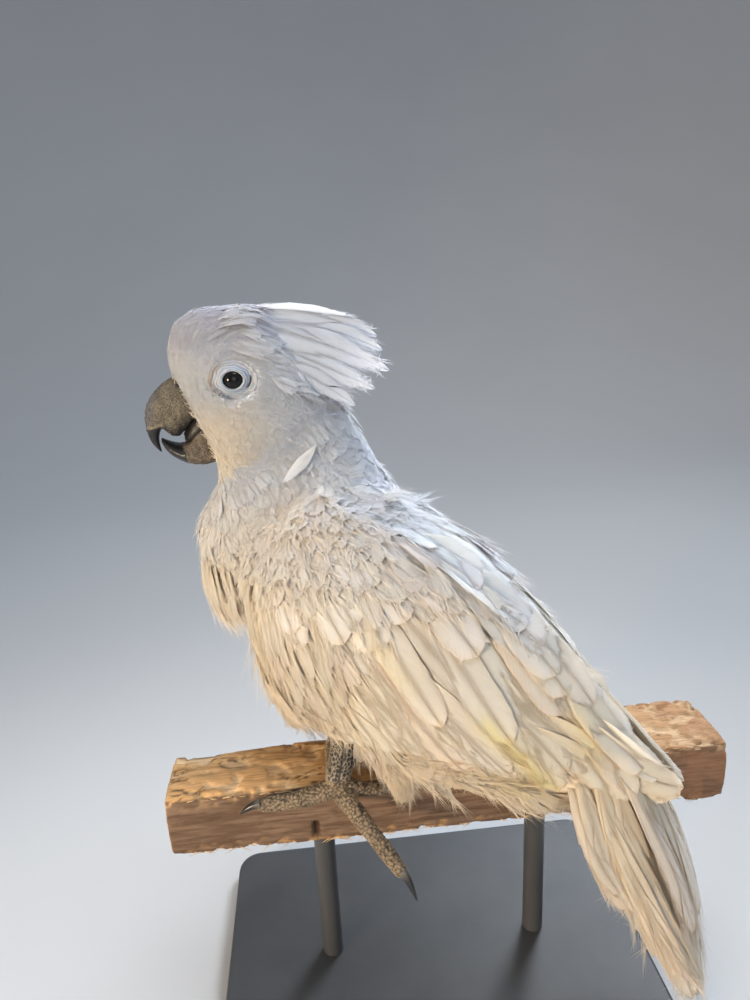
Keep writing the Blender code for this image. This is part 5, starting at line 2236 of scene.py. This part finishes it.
UP = np.array([0.0, 0.0, 1.0])
LEGS = {
    "left": {
        "tarsus": [
            ((-43, -17, 197), 7), ((-45, -19, 187), 8), ((-46.5, -22.5, 171), 8), ((-52, -26, 156), 6.2)
        ],
        "facing": (0.12, -1.0, 0.0),
        "toes": {
            1: [((-46, -26, 150), 4.4), ((-39, -26.5, 147.5), 3.8), ((-30, -26, 145.5), 3.2)],
            2: [((-53, -17, 153), 4.4), ((-53.5, -5, 152.3), 3.9), ((-54, 6, 152.2), 3.4)],
            3: [((-53, -26, 149.8), 5.4), ((-72, -27, 145.6), 4.4), ((-91, -27, 144.4), 3.5)],
            4: [((-49, -30, 147), 5.2), ((-39, -42, 138), 4.4), ((-24, -57, 122), 3.6)],
        },
    },
    "right": {
        "tarsus": [((4, 18, 192), 7), ((4, 18, 183), 8), ((1, 16, 170), 7.6), ((-5, 12, 158.5), 6.2)],
        "facing": (-0.3, -1.0, 0.0),
        "toes": {
            1: [((0, 7, 152.6), 4.4), ((8, 0, 152.3), 3.8), ((15, -6, 152), 3.3)],
            2: [((-9, 19, 152.5), 4.4), ((-18, 26.2, 147), 3.9), ((-26, 27, 136), 3.4)],
            3: [((-11, 10, 152.8), 4.8), ((-24, 13, 152.3), 4.1), ((-36, 18, 152), 3.5)],
            4: [((3, 13, 152.8), 4.8), ((17, 12, 152.3), 4.1), ((31, 8, 152), 3.5)],
        },
    },
}
NET_TINT = np.array([0.34, 0.28, 0.215])
PIT_SHADE_TINT = np.array([0.035, 0.033, 0.032])
PAPILLA_TINT = np.array([0.31, 0.235, 0.155])
BETWEEN_SHADE_TINT = np.array([0.065, 0.050, 0.036])
CLAW_ROOT_TINT = np.array([0.16, 0.145, 0.125])
CLAW_TINT = np.array([0.022, 0.021, 0.021])
ROUND_END = ((0.5, 0.86), (0.8, 0.6), (0.95, 0.25))  # how far past the end, how thick there


def tube(stations, around, per_span, round_ends=True, knuckle=0.0):
    """A tube through stations (middle, radius), which may swell and shrink as knuckles do."""
    rows = smooth_rows([(*middle, radius) for middle, radius in stations], per_span)
    middles, radii = rows[:, :3], rows[:, 3]
    if knuckle:
        radii = radii * (1 + knuckle * np.cos(np.linspace(0, 1, len(radii)) * 2 * math.pi * 2.5))
    if round_ends:
        first, last = unit(middles[0] - middles[1]), unit(middles[-1] - middles[-2])
        lead = [(middles[0] + first * radii[0] * x, radii[0] * y) for x, y in ROUND_END[::-1]]
        tail = [(middles[-1] + last * radii[-1] * x, radii[-1] * y) for x, y in ROUND_END]
        middles = np.vstack([m for m, _ in lead] + [middles] + [m for m, _ in tail])
        radii = np.concatenate(([r for _, r in lead], radii, [r for _, r in tail]))
    along = unit(np.gradient(middles, axis=0))
    side = unit(np.cross(along[0], (0.13, 0.27, 1.0)))
    turn = full_turn(around)
    points = []
    for middle, radius, way in zip(middles, radii, along):
        side = unit(side - way * (side @ way))
        other = np.cross(way, side)
        points.append(middle + (np.cos(turn)[:, None] * side + np.sin(turn)[:, None] * other) * radius)
    points = np.vstack(points + [middles[:1], middles[-1:]])
    return points, ring_faces(len(middles), around)


def fused(shapes, voxel, smooth_times):
    """Shapes as one closed skin."""
    points, faces = remeshed(*stacked(shapes), voxel)
    return neighbours_mean(points, edges_of(faces), smooth_times), faces


def foot_material():
    m = Nodes("foot_scales", roughness=0.6, Specular_IOR_Level=0.35)
    dust = ((0.32, (0.72, 0.71, 0.69)), (0.52, (1.0, 1.0, 1.0)), (0.7, (1.22, 1.2, 1.14)))
    m.colour(tinted(m, (m.noise(m.place(), 800.0, detail=5.0, roughness=0.65), dust)))
    m.bump(m.noise(m.place(), 2200.0, detail=4.0), strength=0.4, distance=0.0003)
    return m.material


def claw_material():
    m = Nodes("claw_horn", roughness=0.28, Specular_IOR_Level=0.6)
    streak = m.noise(m.place((1, 1, 0.4)), 1500.0, detail=4.0)
    m.colour(tinted(m, (streak, ((0.35, (0.6, 0.6, 0.6)), (0.6, (1.0, 1.0, 1.0)), (0.75, (1.6, 1.5, 1.35))))))
    m.bump(streak, strength=0.25, distance=0.0002)
    return m.material


def make_foot(side, tarsus, facing, toes, material):
    """Tarsus, toes and the sole that joins them, with pits in a net on the shin and papillae below."""
    middle = np.mean([np.array(stations[0][0]) for stations in toes.values()], axis=0)
    low = np.array(tarsus[-1][0])
    sole = [(low, 5.6), ((low + middle) / 2, 5.8), (middle + UP * 0.8, 4.9)]
    shapes = [tube(tarsus, around=48, per_span=14)]
    shapes += [tube(stations, around=36, per_span=14, knuckle=0.045) for stations in toes.values()]
    points, faces = fused(shapes + [tube(sole, around=36, per_span=8)], voxel=0.55, smooth_times=4)
    normals = vertex_normals(points, faces)
    top, bottom = np.array(tarsus[0][0], float), np.array(tarsus[-1][0], float)
    height = np.clip((points - top) @ (bottom - top) / ((bottom - top) @ (bottom - top)), 0, 1)
    axis_at = top + height[:, None] * (bottom - top)
    shin = (points[:, 2] > 157.5) & (np.linalg.norm(points - axis_at, axis=1) < 10.5)
    gap = np.empty(len(points))
    for i, (x, y, z) in enumerate(points):
        size, stretch = (1.85, 1.25) if shin[i] else (2.0, 0.95)
        near, _ = noise.voronoi(Vector((x / size, y / size, z / (size * stretch))))
        gap[i] = near[1] - near[0]
    pit = smoothstep(0.05, 0.34, gap)
    depth = np.where(shin, -0.5 * pit, 0.55 * pit - 0.3)
    # A groove runs down the front of the shin.
    facing = unit(facing)
    radial = unit((points - axis_at) * np.array([1, 1, 0.2]))
    across = radial @ np.cross(facing, UP)
    groove = bell(across, 0.085) * (radial @ facing > 0) * shin * smoothstep(186, 178, points[:, 2])
    points = points + normals * (depth - 0.75 * groove)[:, None]
    tone = 0.85 + 0.3 * noise_at(points, 9.0, seed=4, octaves=2)[:, None]
    # Painted shade: the pits of the shin, the skin between the papillae and the groove are painted dark.
    net = layered(NET_TINT, (PIT_SHADE_TINT, smoothstep(0.07, 0.2, gap)))
    papillae = layered(BETWEEN_SHADE_TINT, (PAPILLA_TINT, smoothstep(0.03, 0.2, gap)))
    colour = np.where(shin[:, None], net, papillae) * tone
    colour = layered(colour, (PIT_SHADE_TINT * 0.8, np.clip(groove * 1.2, 0, 1)))
    stands_for = ["tarsus_" + side, *[f"{side}_toe_{k}" for k in toes]]
    dressed("foot_" + side, (points, faces), material, "foot", stands_for, Tint=np.clip(colour, 0.01, 0.9))


def make_claws(side, toes, material):
    """Claws, curved and tapered, out of the ends of the toes."""
    shapes, tones = [], []
    for stations in toes.values():
        (before, _), (tip, radius) = stations[-2:]
        tip = np.array(tip, float)
        along = unit(tip - before)
        drop = 6.0 * (1.0 if tip[2] < 140 else 0.6)
        rows = []
        for t in np.arange(9) / 8:
            ahead = along * (radius * 0.35 + 13.6 * t * (1 - 0.2 * t))
            rows.append((tip + ahead + UP * 1.2 * (1 - t) - UP * drop * t * t, 2.35 * (1 - t) ** 0.72 + 0.22))
        p, f = tube(rows, around=24, per_span=3, round_ends=False)
        reach = risen((p - tip) @ along, 13.0)
        shapes.append((p, f))
        tones.append(layered(CLAW_ROOT_TINT, (CLAW_TINT, smoothstep(0.05, 0.5, reach))))
    stands_for = [f"{side}_claw_{k}" for k in toes]
    dressed("claws_" + side, stacked(shapes), material, "claw", stands_for, Tint=np.vstack(tones))


def make_feet():
    scales, horn = foot_material(), claw_material()
    for side, leg in LEGS.items():
        make_foot(side, leg["tarsus"], leg["facing"], leg["toes"], scales)
        make_claws(side, leg["toes"], horn)


make_feet()


# ---------------------------------------------------------------- perch and stand

PERCH_MIDDLE = 129  # height of the post's middle
WOOD_PALE = np.array([0.70, 0.43, 0.20])
WOOD_FRESH = np.array([0.80, 0.57, 0.33])
WOOD_SIDE_PINK_SHADED = np.array([0.23, 0.150, 0.102])
WOOD_SIDE_BROWN_SHADED = np.array([0.145, 0.090, 0.058])
WOOD_CRACK_SHADE = np.array([0.07, 0.035, 0.022])
WOOD_RED = np.array([0.46, 0.23, 0.12])
SPLINTERS = 150


def wood_material():
    m = Nodes("gnawed_wood", roughness=0.78, Specular_IOR_Level=0.25)
    fibres = m.noise(m.place((0.05, 1, 1)), 1100.0, detail=5.0, roughness=0.6)
    specks = m.noise(m.place((0.3, 1, 1)), 260.0, detail=5.0, roughness=0.65)
    light = ((0.32, (0.72, 0.68, 0.64)), (0.55, (1.0, 1.0, 1.0)), (0.72, (1.16, 1.14, 1.1)))
    m.colour(tinted(m, (fibres, light), (specks, ((0.3, (0.72, 0.66, 0.6)), (0.45, (1.0, 1.0, 1.0))))))
    m.bump(fibres, strength=0.5, distance=0.0005)
    return m.material


def perch_wood(material):
    """The post, with grain along it and bites, cracks and gouges on top and on the edges."""
    points, faces = fused([welded("perch")], voxel=1.15, smooth_times=5)
    normals = vertex_normals(points, faces)
    x, y, z = points.T
    topness = smoothstep(0.45, 0.85, normals[:, 2])
    frontness = smoothstep(0.45, 0.85, -normals[:, 1])
    grain = noise_at(points, 3.0, seed=7, octaves=2, stretch=(0.09, 1, 1))
    fine = noise_at(points, 1.2, seed=17, octaves=1, stretch=(0.12, 1, 1))
    bites = smoothstep(0.12, 0.42, noise_at(points, 11.0, seed=27, octaves=2, stretch=(0.8, 1, 1)))
    chew = smoothstep(0.05, 0.5, noise_at(points, 5.0, seed=37, octaves=2, stretch=(0.7, 1, 1)))
    crack = smoothstep(
        0.10, 0.0, np.abs(noise_at(points, 10.0, seed=47, octaves=3, stretch=(0.55, 1.3, 1.3)))
    )
    crack = crack * smoothstep(0.0, 0.3, noise_at(points, 16.0, seed=57, octaves=1))
    # Less is bitten off near the feet.
    clear = np.minimum(np.hypot(x + 60, y + 20), np.hypot(x, y - 12))
    away = smoothstep(14, 34, clear) * 0.85 + 0.15
    edge = smoothstep(12.0, 19.5, np.abs(y)) * smoothstep(9.0, 17.0, np.abs(z - PERCH_MIDDLE))
    slot = np.exp(-(((x + 65) / 2.0) ** 4)) * smoothstep(6.5, 4.0, np.abs(z - 119.5)) * frontness
    depth = 0.35 * np.abs(grain) + 0.22 * np.abs(fine) * (1 - topness)
    depth += topness * away * (1.5 * bites + 0.8 * chew) + edge * away * 2.2 * chew
    depth += crack * 0.8 * topness + slot * 2.4
    points = points - normals * depth[:, None]
    top_colour = layered(
        WOOD_PALE,
        (WOOD_FRESH, smoothstep(0.0, 0.6, bites + 0.4 * chew)),
        (WOOD_PALE * 0.72, smoothstep(0.1, 0.5, -grain) * 0.7),
    )
    rings = 0.5 + 0.5 * np.sin(np.hypot(y - 30, z - 60) * 1.9 + 2 * grain)
    # The top is paler, partly fresh gnawed wood and partly painted light; the front and back faces are
    # darker, partly weathered and partly painted shade.
    colour = layered(
        WOOD_SIDE_BROWN_SHADED,
        (WOOD_SIDE_PINK_SHADED, smoothstep(-0.35, 0.45, grain + 0.5 * fine)),
        (top_colour, np.clip(topness + edge * chew * (z > PERCH_MIDDLE) * 0.8, 0, 1)),
        (WOOD_RED, smoothstep(90, 150, x) * 0.7 * (1 - 0.5 * bites)),
        # Painted shade in the cracks and in the slot.
        (WOOD_CRACK_SHADE, np.clip(crack * (0.25 + 0.6 * topness) + slot * 1.3, 0, 0.95)),
        (WOOD_PALE * 0.8, edge * (z < PERCH_MIDDLE) * chew * 0.6),
        (layered(WOOD_PALE * 0.85, (WOOD_PALE * 0.55, rings)), smoothstep(0.6, 0.9, np.abs(normals[:, 0]))),
    )
    dressed("perch_wood", (points, faces), material, "wood", ["perch"], Tint=np.clip(colour, 0.01, 0.9))
    return points, faces


def splinters(wood, material):
    """Splinters along the lower front edge and the chewed top."""
    own = np.random.default_rng(91)
    tree = tree_of(*wood)
    shapes = []
    for _ in range(SPLINTERS):
        x = own.uniform(-138, 160)
        low = own.random() < 0.7
        start = np.array(tree.find_nearest(Vector((x, -19.5, 112.5 if low else 145.0)))[0])
        forward = own.choice((-1, 1)) * own.uniform(0.6, 1.2)
        out = -own.uniform(0.0, 0.25)
        way = unit((forward, out, own.uniform(-0.5, -0.05) if low else own.uniform(0.0, 0.35)))
        size = own.uniform(2.0, 7.0)
        middle = start + way * size * 0.5 + own.normal(0, 0.15, 3)
        p, f = tube(
            [(start - way * 0.8, 0.32), (middle, 0.22), (start + way * size, 0.05)], around=4, per_span=1,
            round_ends=False,
        )
        p[:, 1] = np.maximum(p[:, 1], -21.6)
        shapes.append((p, f))
    points, faces = stacked(shapes)
    tint = np.tile(WOOD_FRESH * 0.9, (len(points), 1))
    dressed("perch_splinters", (points, faces), material, "wood", Tint=tint)


def make_perch():
    wood = wood_material()
    splinters(perch_wood(wood), wood)


make_perch()


def dress_stand():
    """Plain dark paint on the CAD's own stand."""
    m = Nodes("stand_paint", roughness=0.42, Metallic=0.0, Specular_IOR_Level=0.5)
    place = m.place()
    m.colour(
        m.ramp(
            m.noise(place, 24.0, detail=4.0), ((0.3, (0.048, 0.050, 0.054)), (0.7, (0.066, 0.068, 0.072)))
        )
    )
    pits = m.noise(place, 1900.0, detail=3.0, roughness=0.6)
    m.rough(m.maths("ADD", 0.34, m.maths("MULTIPLY", pits, 0.2)))
    m.bump(pits, strength=0.18, distance=0.0002)
    for name in ("stand_base", "stand_rod_1", "stand_rod_2"):
        for own_slot in nodes[name].material_slots:
            own_slot.material = m.material


dress_stand()


# ---------------------------------------------------------------- camera, floor and lights

camera_data = bpy.data.cameras.new("camera")
camera_data.sensor_width = 36.0
camera_data.lens = 26.064
camera = bpy.data.objects.new("camera", camera_data)
bpy.context.scene.collection.objects.link(camera)
forward = Vector((0.0755, 0.9505, -0.3015)).normalized()
right = Vector((0.9940, -0.0942, -0.0480))
right = (right - forward * right.dot(forward)).normalized()
up = right.cross(forward)
look = Matrix((right, up, -forward)).transposed().to_4x4()
camera.matrix_world = Matrix.Translation((-0.050, -0.342, 0.405)) @ look
bpy.context.scene.camera = camera


def stage():
    """The floor, the world's light and the lamps."""
    # A floor that sweeps up behind the object into a plain backdrop.
    profile = [(-40.0, 0.0), (-2.0, 0.0), (1.0, 0.0)]
    profile += [
        (1.0 + 1.8 * math.sin(a), 1.8 - 1.8 * math.cos(a))
        for a in np.linspace(0, math.pi / 2, 25)[1:]
    ]
    profile += [(2.8, 3.0), (2.8, 5.0)]
    points = np.array([(x * 1000, y * 1000, z * 1000) for y, z in profile for x in (-40.0, 40.0)])
    k = np.arange(len(profile) - 1) * 2
    m = Nodes("floor_paint", roughness=0.9)
    m.colour(
        m.ramp(m.noise(m.place(), 3.0, detail=2.0), ((0.3, (0.60, 0.60, 0.60)), (0.7, (0.62, 0.62, 0.615))))
    )
    make("floor", points, np.stack((k, k + 1, k + 3, k + 2), 1), material=m.material, ride=False)
    world = bpy.data.worlds.new("studio")
    bpy.context.scene.world = world
    world.use_nodes = True
    back = world.node_tree.nodes["Background"]
    back.inputs["Color"].default_value = (0.52, 0.565, 0.64, 1)
    back.inputs["Strength"].default_value = 0.6

    def lamp(name, place, target, size, watts, colour, spread=180):
        data = bpy.data.lights.new(name, "AREA")
        data.shape = "DISK"
        data.size = size
        data.energy = watts
        data.color = colour
        data.spread = math.radians(spread)
        obj = bpy.data.objects.new(name, data)
        bpy.context.scene.collection.objects.link(obj)
        way = Vector(target) - Vector(place)
        obj.location = place
        obj.rotation_euler = way.to_track_quat("-Z", "Y").to_euler()

    lamp("key", (-1.20, -0.98, 0.36), (-0.03, 0.0, 0.21), 0.50, 3.0, (1.0, 0.79, 0.53), 60)
    lamp("top", (0.30, 0.10, 1.45), (-0.02, 0.0, 0.25), 1.0, 13.0, (0.80, 0.89, 1.0))
    lamp("rim", (0.55, 0.85, 0.95), (-0.06, 0.03, 0.26), 0.5, 1.1, (0.84, 0.91, 1.0), 40)
    lamp("fill", (0.5, -1.6, 0.6), (0.0, 0.0, 0.2), 1.4, 5.5, (1.0, 0.93, 0.85))


stage()
bpy.context.scene.view_settings.view_transform = "Standard"
said("stage")
